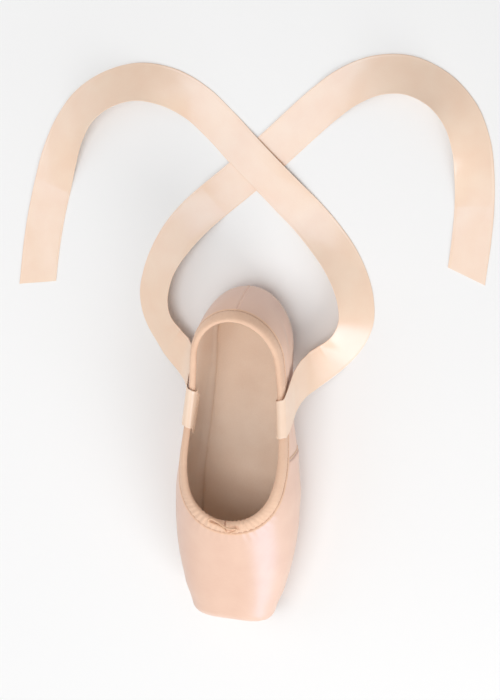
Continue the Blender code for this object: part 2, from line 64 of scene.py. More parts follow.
# Sections of the last: place, half width, top, widest height, roundness above and below
LAST_ROWS = (
    (0.000, 0.640, 0.545, 0.280, 2.70, 2.90),
    (0.018, 0.662, 0.566, 0.280, 2.70, 2.90),
    (0.044, 0.700, 0.598, 0.285, 2.62, 2.85),
    (0.066, 0.738, 0.626, 0.290, 2.55, 2.80),
    (0.096, 0.800, 0.663, 0.300, 2.46, 2.70),
    (0.136, 0.852, 0.712, 0.310, 2.38, 2.60),
    (0.175, 0.902, 0.761, 0.320, 2.30, 2.50),
    (0.241, 0.962, 0.842, 0.335, 2.22, 2.42),
    (0.324, 0.998, 0.946, 0.345, 2.16, 2.40),
    (0.368, 1.000, 1.000, 0.350, 2.15, 2.40),
    (0.417, 0.998, 1.055, 0.352, 2.15, 2.40),
    (0.504, 0.940, 1.130, 0.354, 2.16, 2.40),
    (0.614, 0.840, 1.200, 0.358, 2.20, 2.45),
    (0.724, 0.775, 1.260, 0.365, 2.26, 2.55),
    (0.833, 0.750, 1.330, 0.380, 2.34, 2.75),
    (1.000, 0.750, 1.390, 0.385, 2.40, 2.80),
)
UNDER_DEPTH = 1.35
UNDER_EDGE = 2 * MM
FLAT_SHARE = 0.97

# The collar seen from the side: place, share of instep height, share of heel height
COLLAR_ROWS = (
    (0.200, 1.205, 0.000),
    (0.368, 1.000, 0.000),
    (0.439, 0.908, 0.000),
    (0.526, 0.808, 0.000),
    (0.636, 0.362, 0.346),
    (0.746, 0.000, 0.718),
    (0.855, 0.000, 0.845),
    (0.943, 0.000, 0.962),
    (1.000, 0.000, 1.040),
)
BALL_FLAT = (0.255, 0.455)
HEEL_FLAT = (0.800, 0.965)

# The outsole's outline: share of its own length from the tip, half width
SOLE_ROWS = (
    (0.000, 0.560),
    (0.080, 0.700),
    (0.180, 0.880),
    (0.300, 0.990),
    (0.370, 1.000),
    (0.470, 0.900),
    (0.580, 0.660),
    (0.680, 0.575),
    (0.780, 0.590),
    (0.880, 0.650),
    (1.000, 0.680),
)
SOLE_TIP_ROUND = 0.075
SOLE_HEEL_ROUND = 0.085

# The ribbons' routes in millimetres and degrees: x, y, z, bearing and tilt of the width
LEFT_ROUTE = (
    (-27.0, 28.8, 23.0, 6, 0),
    (-32.8, 28.0, 33.0, 6, 0),
    (-37.4, 26.4, 41.0, 5, 0),
    (-38.3, 27.1, 43.9, 4, 0),
    (-39.4, 29.5, 45.1, 4, 0),
    (-40.5, 31.9, 43.9, 4, 0),
    (-42.2, 32.7, 41.0, 5, 0),
    (-46.8, 33.5, 33.0, 6, 0),
    (-51.5, 34.2, 24.0, 6, 0),
    (-55.8, 36.6, 16.0, 6, 0),
    (-60.0, 41.2, 9.8, 10, -3),
    (-65.5, 48.0, 6.9, 24, -14),
    (-73.0, 56.0, 6.9, 46, -26),
    (-83.0, 63.0, 7.3, 68, -31),
    (-95.0, 66.8, 7.3, 84, -32),
    (-107.0, 66.0, 7.2, 98, -32),
    (-121.0, 61.5, 6.8, 112, -29),
    (-134.0, 54.0, 5.6, 124, -22),
    (-146.0, 44.0, 4.0, 132, -13),
    (-158.0, 32.0, 3.0, 137, -5),
    (-171.0, 17.5, 3.0, 139, 0),
    (-184.0, 3.0, 3.1, 139, 0),
    (-197.0, -11.5, 2.7, 139, 0),
    (-210.5, -26.0, 1.6, 140, 0),
    (-223.0, -41.0, 2.0, 146, -4),
    (-232.0, -59.0, 4.6, 162, -18),
    (-234.0, -78.0, 6.8, 180, -29),
    (-228.0, -96.0, 7.4, 200, -32),
    (-216.0, -111.0, 6.8, 217, -28),
    (-200.0, -121.0, 4.8, 232, -18),
    (-181.0, -128.0, 2.6, 243, -7),
    (-161.0, -133.0, 0.9, 250, 0),
    (-141.0, -137.0, 0.9, 254, 0),
    (-120.5, -140.0, 0.9, 257, 0),
    (-100.0, -142.0, 0.9, 260, 0),
)
RIGHT_ROUTE = (
    (-27.0, -28.8, 23.0, -6, 0),
    (-32.8, -28.0, 33.0, -6, 0),
    (-37.4, -26.4, 41.0, -5, 0),
    (-38.3, -27.1, 43.9, -4, 0),
    (-39.4, -29.5, 45.1, -4, 0),
    (-40.5, -31.9, 43.9, -4, 0),
    (-42.2, -32.7, 41.0, -5, 0),
    (-46.8, -33.5, 33.0, -6, 0),
    (-51.5, -34.2, 24.0, -6, 0),
    (-55.8, -36.6, 16.0, -6, 0),
    (-60.0, -41.2, 9.8, -10, -3),
    (-65.5, -48.0, 6.9, -24, -14),
    (-73.5, -55.0, 6.6, -46, -25),
    (-84.0, -61.0, 6.7, -66, -29),
    (-97.0, -63.5, 6.7, -84, -29),
    (-109.5, -62.0, 6.6, -98, -29),
    (-124.0, -57.0, 5.8, -112, -25),
    (-137.5, -49.5, 4.4, -122, -17),
    (-150.0, -40.0, 2.4, -130, -8),
    (-162.0, -28.5, 0.8, -135, 0),
    (-174.5, -15.5, 0.75, -136, 0),
    (-187.5, -2.5, 0.75, -136, 0),
    (-201.0, 10.5, 0.75, -136, 0),
    (-215.0, 23.5, 0.8, -136, 0),
    (-229.0, 37.0, 1.4, -138, -2),
    (-242.0, 52.0, 3.2, -144, -9),
    (-251.0, 69.5, 5.2, -160, -20),
    (-253.0, 89.0, 7.0, -179, -29),
    (-246.0, 107.0, 7.2, -199, -31),
    (-232.5, 120.5, 6.6, -218, -27),
    (-214.5, 128.5, 4.9, -236, -18),
    (-195.0, 132.0, 2.7, -252, -7),
    (-175.0, 133.5, 0.9, -262, 0),
    (-155.0, 133.5, 0.9, -267, 0),
    (-135.0, 132.5, 0.9, -270, 0),
)

# The drawstring's small bow, in millimetres: x, y, z
STRING_ROUTE = (
    (35.6, 0.8, 58.1),
    (33.0, -0.4, 58.9),
    (31.4, -2.6, 59.5),
    (30.4, -5.4, 59.5),
    (29.8, -8.0, 59.5),
    (28.9, -9.9, 59.9),
    (27.2, -10.2, 60.4),
    (26.2, -8.8, 60.8),
    (26.7, -6.2, 61.1),
    (28.0, -3.4, 61.3),
    (29.6, -0.6, 61.6),
    (30.6, 2.0, 61.9),
    (31.0, 4.6, 61.6),
    (31.3, 6.9, 60.6),
    (32.2, 8.0, 59.3),
    (33.6, 6.9, 58.7),
    (34.8, 4.8, 58.5),
    (35.9, 2.9, 58.1),
)
TOE_PIVOT = 0.482
HEEL_PIVOT = 0.833
CORE_HEIGHT = 0.32
CORE_REACH = 0.5
SCAN_STEPS = 300
SCAN_TOP = math.radians(160)
BISECTIONS = 26
PROBE = 0.1 * MM

# Creases of the satin, given one by one on either side of the shoe.
# Columns: side, then in millimetres and degrees back, height, slope, length, width, depth
CREASES = (
    (1, 148, 27, 4, 30, 2.6, -0.48),
    (1, 152, 20, 8, 34, 2.4, -0.54),
    (1, 160, 33, -3, 26, 2.2, -0.35),
    (1, 172, 24, 5, 28, 2.8, -0.48),
    (1, 182, 34, 2, 30, 2.4, -0.42),
    (1, 188, 17, -4, 26, 2.6, -0.48),
    (1, 202, 28, 3, 24, 3.0, -0.42),
    (1, 108, 16, 12, 26, 2.8, -0.38),
    (1, 94, 12, 10, 22, 2.6, -0.32),
    (-1, 146, 24, -6, 32, 2.6, -0.51),
    (-1, 157, 31, 5, 28, 2.2, -0.38),
    (-1, 166, 18, 3, 30, 2.6, -0.51),
    (-1, 179, 28, -3, 30, 2.4, -0.45),
    (-1, 190, 38, 4, 24, 2.4, -0.35),
    (-1, 198, 21, 6, 26, 2.8, -0.45),
    (-1, 112, 19, -9, 28, 2.8, -0.35),
    (-1, 90, 13, 8, 24, 2.6, -0.32),
)

# Camera and light
TARGET = Vector((-0.066, -0.001, 0.0))
CAMERA_BACK = Vector((-0.3453, 0.1866, 0.9198))
CAMERA_RIGHT = Vector((-0.0436, 0.9758, -0.2143))
CAMERA_DISTANCE = 1.3
CAMERA_LENS = 105


def smooth(rows, column, places):
    """Read a smooth curve through one column of a table at the places in its first column."""
    table = np.array(rows, dtype=float)
    knots = table[:, 0]
    values = table[:, column]
    slopes = np.gradient(values, knots)
    places = np.clip(places, knots[0], knots[-1])
    k = np.clip(np.searchsorted(knots, places, side="right") - 1, 0, len(knots) - 2)
    step = knots[k + 1] - knots[k]
    t = (places - knots[k]) / step
    ahead = (3 - 2 * t) * t * t
    lead = t * (1 - t) ** 2 * step * slopes[k]
    tail = t * t * (t - 1) * step * slopes[k + 1]
    return values[k] * (1 - ahead) + values[k + 1] * ahead + lead + tail


def ease(low, high, value):
    """Rise smoothly from 0 at low to 1 at high."""
    t = np.clip((value - low) / (high - low), 0, 1)
    return t * t * (3 - 2 * t)


def bell(value, width):
    return np.exp(-(value / width) ** 2)


def half_width(back):
    return 0.5 * BALL_WIDTH * smooth(LAST_ROWS, 1, back / LENGTH)


def top_height(back):
    return INSTEP_HEIGHT * smooth(LAST_ROWS, 2, back / LENGTH)


def collar_height(back):
    place = back / LENGTH
    return INSTEP_HEIGHT * smooth(COLLAR_ROWS, 1, place) + HEEL_HEIGHT * smooth(COLLAR_ROWS, 2, place)


def underside(back):
    """Height of the upper's flat underside: flat at ball and heel, lifted at the arch and the toe."""
    place = back / LENGTH
    flat = OUTSOLE_THICK + GAP
    across = np.clip((place - BALL_FLAT[1]) / (HEEL_FLAT[0] - BALL_FLAT[1]), 0, 1)
    arch = ARCH_LIFT * np.sin(math.pi * across) ** 2
    toe = TOE_SPRING * np.clip(1 - place / BALL_FLAT[0], 0, 1) ** 2
    return flat + arch + toe


def rounded_max(a, b, radius):
    both = (a > -radius) & (b > -radius)
    round_part = np.hypot(a + radius, b + radius) - radius
    return np.where(both, round_part, np.maximum(a, b))


def last_form(back, side, height):
    """Signed depth of the last's form, below 0 inside it."""
    place = back / LENGTH
    width = half_width(back)
    middle = INSTEP_HEIGHT * smooth(LAST_ROWS, 3, place)
    above = smooth(LAST_ROWS, 4, place)
    below = smooth(LAST_ROWS, 5, place)
    heel_pivot = HEEL_PIVOT * LENGTH
    heel_reach = LENGTH - heel_pivot
    past = np.maximum(back - heel_pivot, 0)
    plan = np.hypot(side / width, past / heel_reach)
    rise = height - middle
    floor = underside(back)
    up = np.maximum(rise, 0) / (top_height(back) - middle)
    down = np.maximum(-rise, 0) / ((middle - floor) * UNDER_DEPTH)
    power = np.where(rise > 0, above, below)
    gauge = (plan ** power + np.maximum(up, down) ** power) ** (1 / power)
    reach = np.sqrt(side ** 2 + past ** 2 + rise ** 2)
    skin = reach - reach / np.maximum(gauge, 1e-6)
    body = rounded_max(skin, floor - height, UNDER_EDGE)
    rim = underside(0.0) + PLATFORM_EDGE
    platform = (height - rim) * math.sin(PLATFORM_TILT) - back * math.cos(PLATFORM_TILT)
    return rounded_max(body, platform, PLATFORM_EDGE)


def outward(back, side, height):
    """Unit normal of the form, pointing out, in the order back, side, height."""
    slopes = (
        last_form(back + PROBE, side, height) - last_form(back - PROBE, side, height),
        last_form(back, side + PROBE, height) - last_form(back, side - PROBE, height),
        last_form(back, side, height + PROBE) - last_form(back, side, height - PROBE),
    )
    normal = np.stack(slopes, axis=-1)
    return normal / np.linalg.norm(normal, axis=-1, keepdims=True)


def sole_half_width(back, inset=0.0):
    """Half width of the outsole's outline, or of one drawn inside it, and 0 past its ends."""
    front = OUTSOLE_TIP + inset
    rear = LENGTH - OUTSOLE_HEEL - inset
    place = (back - front) / (rear - front)
    width = 0.5 * OUTSOLE_WIDTH * smooth(SOLE_ROWS, 1, place) - inset
    tip = np.clip(1 - place / SOLE_TIP_ROUND, 0, 1)
    heel = np.clip(1 - (1 - place) / SOLE_HEEL_ROUND, 0, 1)
    return width * np.sqrt(1 - tip ** 2) * np.sqrt(1 - heel ** 2)


def read_at(points, index):
    """Read a line of points at fractional indices."""
    order = np.arange(len(points))
    return np.stack([np.interp(index, order, axis) for axis in points.T], axis=-1)


def lengths_along(points):
    """Length from the first point of a line to each of its points."""
    return np.concatenate(([0], np.cumsum(np.linalg.norm(np.diff(points, axis=0), axis=1))))


def spread(points, count, weight):
    """Pick places along a line of points, evenly by length plus turning, as fractional indices."""
    steps = np.diff(points, axis=0)
    lengths = np.linalg.norm(steps, axis=1)
    ways = steps / np.maximum(lengths, 1e-9)[:, None]
    cosines = np.clip((ways[1:] * ways[:-1]).sum(axis=1), -1, 1)
    turns = np.concatenate(([0], np.arccos(cosines)))
    along = np.concatenate(([0], np.cumsum(lengths + weight * turns)))
    return np.interp(np.linspace(0, along[-1], count), along, np.arange(len(points)))


def outline():
    """Half of the plan outline, from the middle of the platform round to the middle of the heel."""
    pivot = HEEL_PIVOT * LENGTH
    platform = [(0.0, side) for side in np.linspace(0, half_width(0.0), 80)]
    sides = [(back, half_width(back)) for back in np.linspace(0, pivot, 500)[1:]]
    width = half_width(pivot)
    reach = LENGTH - pivot
    heel = [
        (pivot + reach * math.sin(angle), width * math.cos(angle))
        for angle in np.linspace(0, math.pi / 2, 160)[1:]
    ]
    return np.array(platform + sides + heel)


def column_path(end):
    """Outside line of one column in its upright plane, from the sole opening to the collar."""
    start = np.array((min(max(end[0], TOE_PIVOT * LENGTH), HEEL_PIVOT * LENGTH), 0.0))
    reach = np.linalg.norm(end - start)
    way = (end - start) / reach
    out = np.linspace(0, reach, 400)
    inside = np.abs(out * way[1]) < sole_half_width(start[0] + out * way[0], LASTING_MARGIN)
    opening = out[inside].max()
    core_out = CORE_REACH * reach
    core_up = CORE_HEIGHT * INSTEP_HEIGHT
    foot = underside(start[0] + opening * way[0])
    first = math.atan2(foot - core_up, opening - core_out)
    angles = np.linspace(first, SCAN_TOP, SCAN_STEPS)

    def point(distance):
        along = core_out + distance * np.cos(angles)
        return start[0] + along * way[0], along * way[1], core_up + distance * np.sin(angles)

    near = np.zeros(SCAN_STEPS)
    far = np.full(SCAN_STEPS, 0.5 * LENGTH)
    for _ in range(BISECTIONS):
        half = 0.5 * (near + far)
        within = last_form(*point(half)) < 0
        near = np.where(within, half, near)
        far = np.where(within, far, half)
    path = np.stack(point(near), axis=-1)
    over = path[:, 2] - collar_height(path[:, 0])
    cut = int(np.argmax((over > 0) & (angles > 0)))
    share = over[cut - 1] / (over[cut - 1] - over[cut])
    edge = path[cut - 1] + share * (path[cut] - path[cut - 1])
    return np.vstack((path[:cut], edge))


def from_edge(path, distance):
    """Fractional index of the point that lies a distance down a path from its collar end."""
    lengths = lengths_along(path)
    left = lengths[-1] - lengths
    return np.interp(distance, left[::-1], np.arange(len(path))[::-1])


def to_world(points):
    points = np.asarray(points)
    return np.stack((0.5 * LENGTH - points[..., 0], points[..., 1], points[..., 2]), axis=-1)


def both_sides(half):
    """Close a half set of columns, from toe to heel along +Y, into a loop round the whole shoe."""
    half = np.array(half)
    half[0, ..., 1] = 0
    half[-1, ..., 1] = 0
    other = half[-2:0:-1] * np.array((1, -1, 1))
    return np.concatenate((half, other))


def waves(points, cell, seed, count=7):
    """Smooth uneven waves of about one cell, from -1 to 1, the same each run."""
    dice = np.random.default_rng(seed)
    total = np.zeros(points.shape[:-1])
    for _ in range(count):
        way = dice.normal(size=3)
        way *= 2 * math.pi / (cell * dice.uniform(0.7, 1.6) * np.linalg.norm(way))
        total += np.sin(points @ way + dice.uniform(0, 2 * math.pi))
    return total / count


def loft(name, rings, material, closed=False, sharp=50, marks=None):
    """A closed mesh through rings of points: round into a loop, or capped at its two ends."""
    rings = np.asarray(rings, dtype=float)
    count, around = rings.shape[:2]
    c = np.arange(count if closed else count - 1)[:, None]
    r = np.arange(around)[None, :]
    c_next = (c + 1) % count
    r_next = (r + 1) % around
    corners = (c * around + r, c_next * around + r, c_next * around + r_next, c * around + r_next)
    quads = np.stack([corner.ravel() for corner in corners], axis=1)
    verts = rings.reshape(-1, 3)
    a, b, d, e = (verts[quads[:, k]] for k in range(4))
    volume = np.einsum("ij,ij->i", a, np.cross(b, d)).sum() + np.einsum("ij,ij->i", a, np.cross(d, e)).sum()
    along = lengths_along(rings[:, 0])
    along = np.append(along, along[-1] + np.linalg.norm(rings[0, 0] - rings[-1, 0]))
    middle = rings[count // 2]
    over = lengths_along(middle)
    over = np.append(over, over[-1] + np.linalg.norm(middle[0] - middle[-1]))
    us = np.stack([np.broadcast_to(v, (len(c), around)).ravel() for v in (along[c], along[c + 1])])
    vs = np.stack([np.broadcast_to(v, (len(c), around)).ravel() for v in (over[r], over[r + 1])])
    uv = np.stack(
        [np.stack((us[0], vs[0]), 1), np.stack((us[1], vs[0]), 1),
         np.stack((us[1], vs[1]), 1), np.stack((us[0], vs[1]), 1)], axis=1)
    if volume < 0:
        quads = quads[:, ::-1]
        uv = uv[:, ::-1]
    faces = quads.tolist()
    uv = uv.reshape(-1, 2)
    if not closed:
        first = list(range(around))
        last = list(range((count - 1) * around, count * around))
        faces += [first if volume < 0 else first[::-1], last[::-1] if volume < 0 else last]
        uv = np.vstack((uv, np.zeros((2 * around, 2))))
    mesh = bpy.data.meshes.new(name)
    mesh.from_pydata(verts.tolist(), [], faces)
    layer = mesh.uv_layers.new(name="cloth")
    layer.data.foreach_set("uv", uv.ravel())
    for mark, values in (marks or {}).items():
        attribute = mesh.attributes.new(mark, "FLOAT", "POINT")
        attribute.data.foreach_set("value", np.asarray(values, dtype=np.float32).ravel())
    mesh.materials.append(material)
    mesh.shade_smooth()
    mesh.set_sharp_from_angle(angle=math.radians(sharp))
    mesh.update()
    obj = bpy.data.objects.new(name, mesh)
    bpy.context.scene.collection.objects.link(obj)
    return obj


def stitches(name, runs, radius, material, sides=6):
    """Thread stitches as short capsules, one for each pair of ends."""
    stations = (0.0, 0.08, 0.3, 0.7, 0.92, 1.0)
    girths = (0.35, 0.8, 1.0, 1.0, 0.8, 0.35)
    verts = []
    faces = []
    for low, high, up in runs:
        way = (high - low) / np.linalg.norm(high - low)
        first = np.cross(way, up)
        first /= np.linalg.norm(first)
        second = np.cross(first, way)
        base = len(verts)
        for place, girth in zip(stations, girths):
            middle = low + (high - low) * place + second * radius * 0.9 * math.sin(math.pi * place)
            for k in range(sides):
                turn = 2 * math.pi * k / sides
                spot = middle + girth * radius * (math.cos(turn) * first + math.sin(turn) * second)
                verts.append(spot)
        for s in range(len(stations) - 1):
            for k in range(sides):
                a = base + s * sides + k
                b = base + s * sides + (k + 1) % sides
                faces.append((a, b, b + sides, a + sides))
        faces.append(tuple(base + k for k in reversed(range(sides))))
        faces.append(tuple(base + (len(stations) - 1) * sides + k for k in range(sides)))
    mesh = bpy.data.meshes.new(name)
    mesh.from_pydata([tuple(map(float, v)) for v in verts], [], faces)
    mesh.materials.append(material)
    mesh.shade_smooth()
    mesh.update()
    obj = bpy.data.objects.new(name, mesh)
    bpy.context.scene.collection.objects.link(obj)
    return obj


def along_line(points, ups, pitch, share, start=0.0, stop=None):
    """Pairs of stitch ends at an even pitch along a line."""
    lengths = lengths_along(points)
    stop = lengths[-1] if stop is None else stop
    runs = []
    for at in np.arange(start, stop - pitch * share, pitch):
        ends = [np.array([np.interp(t, lengths, axis) for axis in points.T]) for t in (at, at + pitch * share)]
        up = np.array([np.interp(at, lengths, axis) for axis in ups.T])
        runs.append((*ends, up))
    return runs


def node(tree, kind, inputs=None, **props):
    made = tree.nodes.new(kind)
    for key, value in props.items():
        setattr(made, key, value)
    for key, value in (inputs or {}).items():
        if isinstance(value, bpy.types.NodeSocket):
            tree.links.new(value, made.inputs[key])
        else:
            made.inputs[key].default_value = value
    return made


def math_node(tree, operation, a, b=0.0):
    return node(tree, "ShaderNodeMath", {0: a, 1: b}, operation=operation).outputs[0]


def mix_color(tree, share, a, b, blend="MIX"):
    made = node(tree, "ShaderNodeMix", data_type="RGBA", blend_type=blend)
    for key, value in ((0, share), (6, a), (7, b)):
        if isinstance(value, bpy.types.NodeSocket):
            tree.links.new(value, made.inputs[key])
        else:
            made.inputs[key].default_value = value
    return made.outputs[2]


def ramp(tree, value, low, high, bottom=0.0, top=1.0):
    made = node(tree, "ShaderNodeMapRange", {"Value": value, "From Min": low, "From Max": high,
                                             "To Min": bottom, "To Max": top})
    return made.outputs["Result"]


def rgba(color):
    """A colour given as it looks on screen, from 0 to 255, in the linear values that shaders take."""
    linear = [((c / 255 + 0.055) / 1.055) ** 2.4 if c > 10 else c / 255 / 12.92 for c in color]
    return (*linear, 1)


def cloth(name, light, dark, roughness, pitch, bump, stretch=(1, 1), sheen=0.2, anisotropic=0.0,
          specular=0.5, tint=(1, 1, 1), spots=0.018, soil=None, twill=0.0, slub=0.5, slub_tone=0.25,
          rough_swing=0.08, gap_share=0.10, slub_scale=900.0):
    """Woven cloth: colour that wanders between two tones, threads both ways, slubs along one of them."""
    material = bpy.data.materials.new(name)
    material.use_nodes = True
    tree = material.node_tree
    shader = tree.nodes["Principled BSDF"]
    shader.inputs["Sheen Weight"].default_value = sheen
    shader.inputs["Sheen Roughness"].default_value = 0.4
    shader.inputs["Anisotropic"].default_value = anisotropic
    shader.inputs["Anisotropic Rotation"].default_value = 0.25
    shader.inputs["Specular IOR Level"].default_value = specular
    shader.inputs["Specular Tint"].default_value = (*tint, 1)
    uv = node(tree, "ShaderNodeUVMap", uv_map="cloth").outputs[0]
    place = node(tree, "ShaderNodeTexCoord").outputs["Object"]
    patch = node(tree, "ShaderNodeTexNoise", {"Vector": place, "Scale": 1 / spots, "Detail": 3.0}).outputs["Fac"]
    drawn = node(tree, "ShaderNodeMapping", {"Vector": uv, "Scale": (stretch[0], stretch[1], 1)}).outputs[0]
    slubs = node(tree, "ShaderNodeTexNoise", {"Vector": drawn, "Scale": slub_scale, "Detail": 2.0}).outputs["Fac"]
    turned = node(tree, "ShaderNodeMapping", {"Vector": uv, "Rotation": (0, 0, twill)}).outputs[0]
    period = 0.314 / pitch
    warp = node(tree, "ShaderNodeTexWave", {"Vector": turned, "Scale": period, "Distortion": 0.6,
                                            "Detail": 1.0, "Detail Scale": 0.4}, bands_direction="X").outputs["Fac"]
    weft = node(tree, "ShaderNodeTexWave", {"Vector": turned, "Scale": period * 0.9, "Distortion": 0.6,
                                            "Detail": 1.0, "Detail Scale": 0.4}, bands_direction="Y").outputs["Fac"]
    threads = math_node(tree, "MULTIPLY", warp, weft)
    tone = math_node(tree, "ADD", ramp(tree, patch, 0.3, 0.7, 0.0, 1 - slub_tone), ramp(tree, slubs, 0.3, 0.7, 0.0, slub_tone))
    color = mix_color(tree, tone, rgba(light), rgba(dark))
    gap = ramp(tree, threads, 0.0, 0.5, gap_share, 0.0)
    color = mix_color(tree, gap, color, rgba([0.72 * c for c in dark]))
    rough = ramp(tree, slubs, 0.3, 0.7, roughness - rough_swing, roughness + rough_swing)
    # The mark read from the mesh holds dirt and painted shade, mottled by noise.
    if soil:
        mark = node(tree, "ShaderNodeAttribute", attribute_name="soil").outputs["Fac"]
        mark_mottle = node(tree, "ShaderNodeTexNoise", {"Vector": place, "Scale": 380.0, "Detail": 5.0}).outputs["Fac"]
        share = math_node(tree, "MULTIPLY", mark, ramp(tree, mark_mottle, 0.35, 0.65, 0.35, 1.0))
        color = mix_color(tree, share, color, rgba(soil))
        rough = math_node(tree, "ADD", rough, ramp(tree, mark, 0.0, 1.0, 0.0, 0.2))
    tree.links.new(color, shader.inputs["Base Color"])
    tree.links.new(rough, shader.inputs["Roughness"])
    relief = math_node(tree, "ADD", threads, math_node(tree, "MULTIPLY", slubs, slub))
    bumped = node(tree, "ShaderNodeBump", {"Height": relief, "Strength": 0.6, "Distance": bump})
    tree.links.new(bumped.outputs[0], shader.inputs["Normal"])
    if anisotropic:
        tangent = node(tree, "ShaderNodeTangent", direction_type="UV_MAP", uv_map="cloth")
        tree.links.new(tangent.outputs[0], shader.inputs["Tangent"])
    material.diffuse_color = rgba(light)
    return material


def leather(name, light, dark, soil, roughness):
    """Split leather: fine nap, larger clouds of tone, rubbed dirt and darker lines where the mesh's mark lies."""
    material = bpy.data.materials.new(name)
    material.use_nodes = True
    tree = material.node_tree
    shader = tree.nodes["Principled BSDF"]
    shader.inputs["Sheen Weight"].default_value = 0.25
    shader.inputs["Sheen Roughness"].default_value = 0.6
    shader.inputs["Specular IOR Level"].default_value = 0.35
    place = node(tree, "ShaderNodeTexCoord").outputs["Object"]
    cloud = node(tree, "ShaderNodeTexNoise", {"Vector": place, "Scale": 55.0, "Detail": 4.0}).outputs["Fac"]
    nap = node(tree, "ShaderNodeTexNoise", {"Vector": place, "Scale": 2600.0, "Detail": 4.0}).outputs["Fac"]
    cell = node(tree, "ShaderNodeTexVoronoi", {"Vector": place, "Scale": 1100.0}).outputs["Distance"]
    color = mix_color(tree, ramp(tree, cloud, 0.35, 0.65), rgba(light), rgba(dark))
    color = mix_color(tree, ramp(tree, nap, 0.35, 0.65, 0.0, 0.25), color, rgba([0.82 * c for c in dark]))
    # Darker where the mesh's mark lies: rubbed dirt, and the outsole's scored lines and channel.
    mark = node(tree, "ShaderNodeAttribute", attribute_name="soil").outputs["Fac"]
    color = mix_color(tree, mark, color, rgba(soil))
    tree.links.new(color, shader.inputs["Base Color"])
    tree.links.new(ramp(tree, nap, 0.3, 0.7, roughness - 0.08, roughness + 0.08), shader.inputs["Roughness"])
    relief = math_node(tree, "ADD", nap, math_node(tree, "MULTIPLY", cell, 0.6))
    bumped = node(tree, "ShaderNodeBump", {"Height": relief, "Strength": 0.5, "Distance": 0.00012})
    tree.links.new(bumped.outputs[0], shader.inputs["Normal"])
    material.diffuse_color = rgba(light)
    return material


def thread(name, light, dark, roughness=0.6):
    """Twisted thread or cord: fine slanting plies in two tones."""
    material = bpy.data.materials.new(name)
    material.use_nodes = True
    tree = material.node_tree
    shader = tree.nodes["Principled BSDF"]
    shader.inputs["Sheen Weight"].default_value = 0.15
    place = node(tree, "ShaderNodeTexCoord").outputs["Object"]
    plies = node(tree, "ShaderNodeTexWave", {"Vector": place, "Scale": 900.0, "Distortion": 2.0,
                                             "Detail": 2.0}, bands_direction="DIAGONAL").outputs["Fac"]
    color = mix_color(tree, ramp(tree, plies, 0.2, 0.8), rgba(dark), rgba(light))
    tree.links.new(color, shader.inputs["Base Color"])
    tree.links.new(ramp(tree, plies, 0.0, 1.0, roughness + 0.06, roughness - 0.06), shader.inputs["Roughness"])
    bumped = node(tree, "ShaderNodeBump", {"Height": plies, "Strength": 0.5, "Distance": 0.0001})
    tree.links.new(bumped.outputs[0], shader.inputs["Normal"])
    material.diffuse_color = rgba(light)
    return material


def place_piece(obj, slot, *nodes):
    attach(obj, "root")
    if nodes:
        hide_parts(*nodes)
    return obj


def outline_ends(step_at):
    """Points on the half outline, a step apart that changes along it."""
    line = outline()
    steps = lengths_along(line)
    pace = step_at(line)
    rate = np.concatenate(([0], np.cumsum(np.diff(steps) / (0.5 * (pace[1:] + pace[:-1])))))
    return read_at(line, np.interp(np.linspace(0, rate[-1], int(rate[-1]) + 1), rate, np.arange(len(line))))


def shell_paths(ends, levels, weight):
    """Columns of the half upper, each spaced from the sole opening up to the collar edge."""
    columns = []
    for end in ends:
        path = column_path(end)
        below = read_at(path, np.linspace(0, from_edge(path, BINDING_WIDTH), SCAN_STEPS))
        top = read_at(path, from_edge(path, np.linspace(BINDING_WIDTH, 0, 7)[1:]))
        columns.append(np.vstack((read_at(below, spread(below, levels, weight)), top)))
    return np.array(columns)


def side_seam(points, collar_gap):
    """Lift of the satin towards the folded side seam."""
    seam = SEAM_PLACE * LENGTH
    back = points[..., 0]
    lift = SEAM_STEP * ease(seam - SEAM_RISE, seam, back)
    lift = lift * (1 - ease(seam, seam + SEAM_EDGE, back))
    fade = ease(*SEAM_FADE_TOP, collar_gap / BINDING_WIDTH)
    fade = fade * ease(*SEAM_FADE_FOOT, points[..., 2] / underside(back))
    return lift * fade


def pleats(points):
    """Pleats of the satin that run out from the outsole's tip to the platform's edge."""
    back, side, height = points[..., 0], points[..., 1], points[..., 2]
    middle = 40 * MM
    turn = np.degrees(np.arctan2(side, middle - back))
    bent = turn + 3.0 * np.sin(np.radians(turn * 5.1) + 0.6) + 1.8 * np.sin(np.radians(turn * 11.3) + 2.1)
    share = np.mod(bent / 9.5, 1.0)
    fold = share - ease(0.82, 0.98, share) * share
    reach = ease(19 * MM, 5 * MM, height) * ease(64 * MM, 34 * MM, back) * ease(62, 40, np.abs(turn))
    under = ease(12 * MM, 6 * MM, height)
    return 1.35 * MM * (fold - 0.3) * reach * (0.3 + 0.7 * under)


def creases(points):
    """The listed creases and the gentle unevenness of pasted cloth under satin."""
    back, side, height = points[..., 0], points[..., 1], points[..., 2]
    total = 0.10 * MM * waves(points, 34 * MM, 3) + 0.045 * MM * waves(points, 13 * MM, 8)
    for hand, at_back, at_height, slope, length, width, depth in CREASES:
        angle = math.radians(slope)
        along = (back - at_back * MM) * math.cos(angle) + (height - at_height * MM) * math.sin(angle)
        bow = 0.06 * along * along / (length * MM)
        across = -(back - at_back * MM) * math.sin(angle) + (height - at_height * MM) * math.cos(angle) - bow
        window = ease(0.5 * length * MM, 0.1 * length * MM, np.abs(along)) * ease(4 * MM, 12 * MM, side * hand)
        valley = bell(across, width * MM) - 0.55 * bell(across - 1.7 * width * MM, width * MM)
        total = total + depth * MM * window * valley
    return total


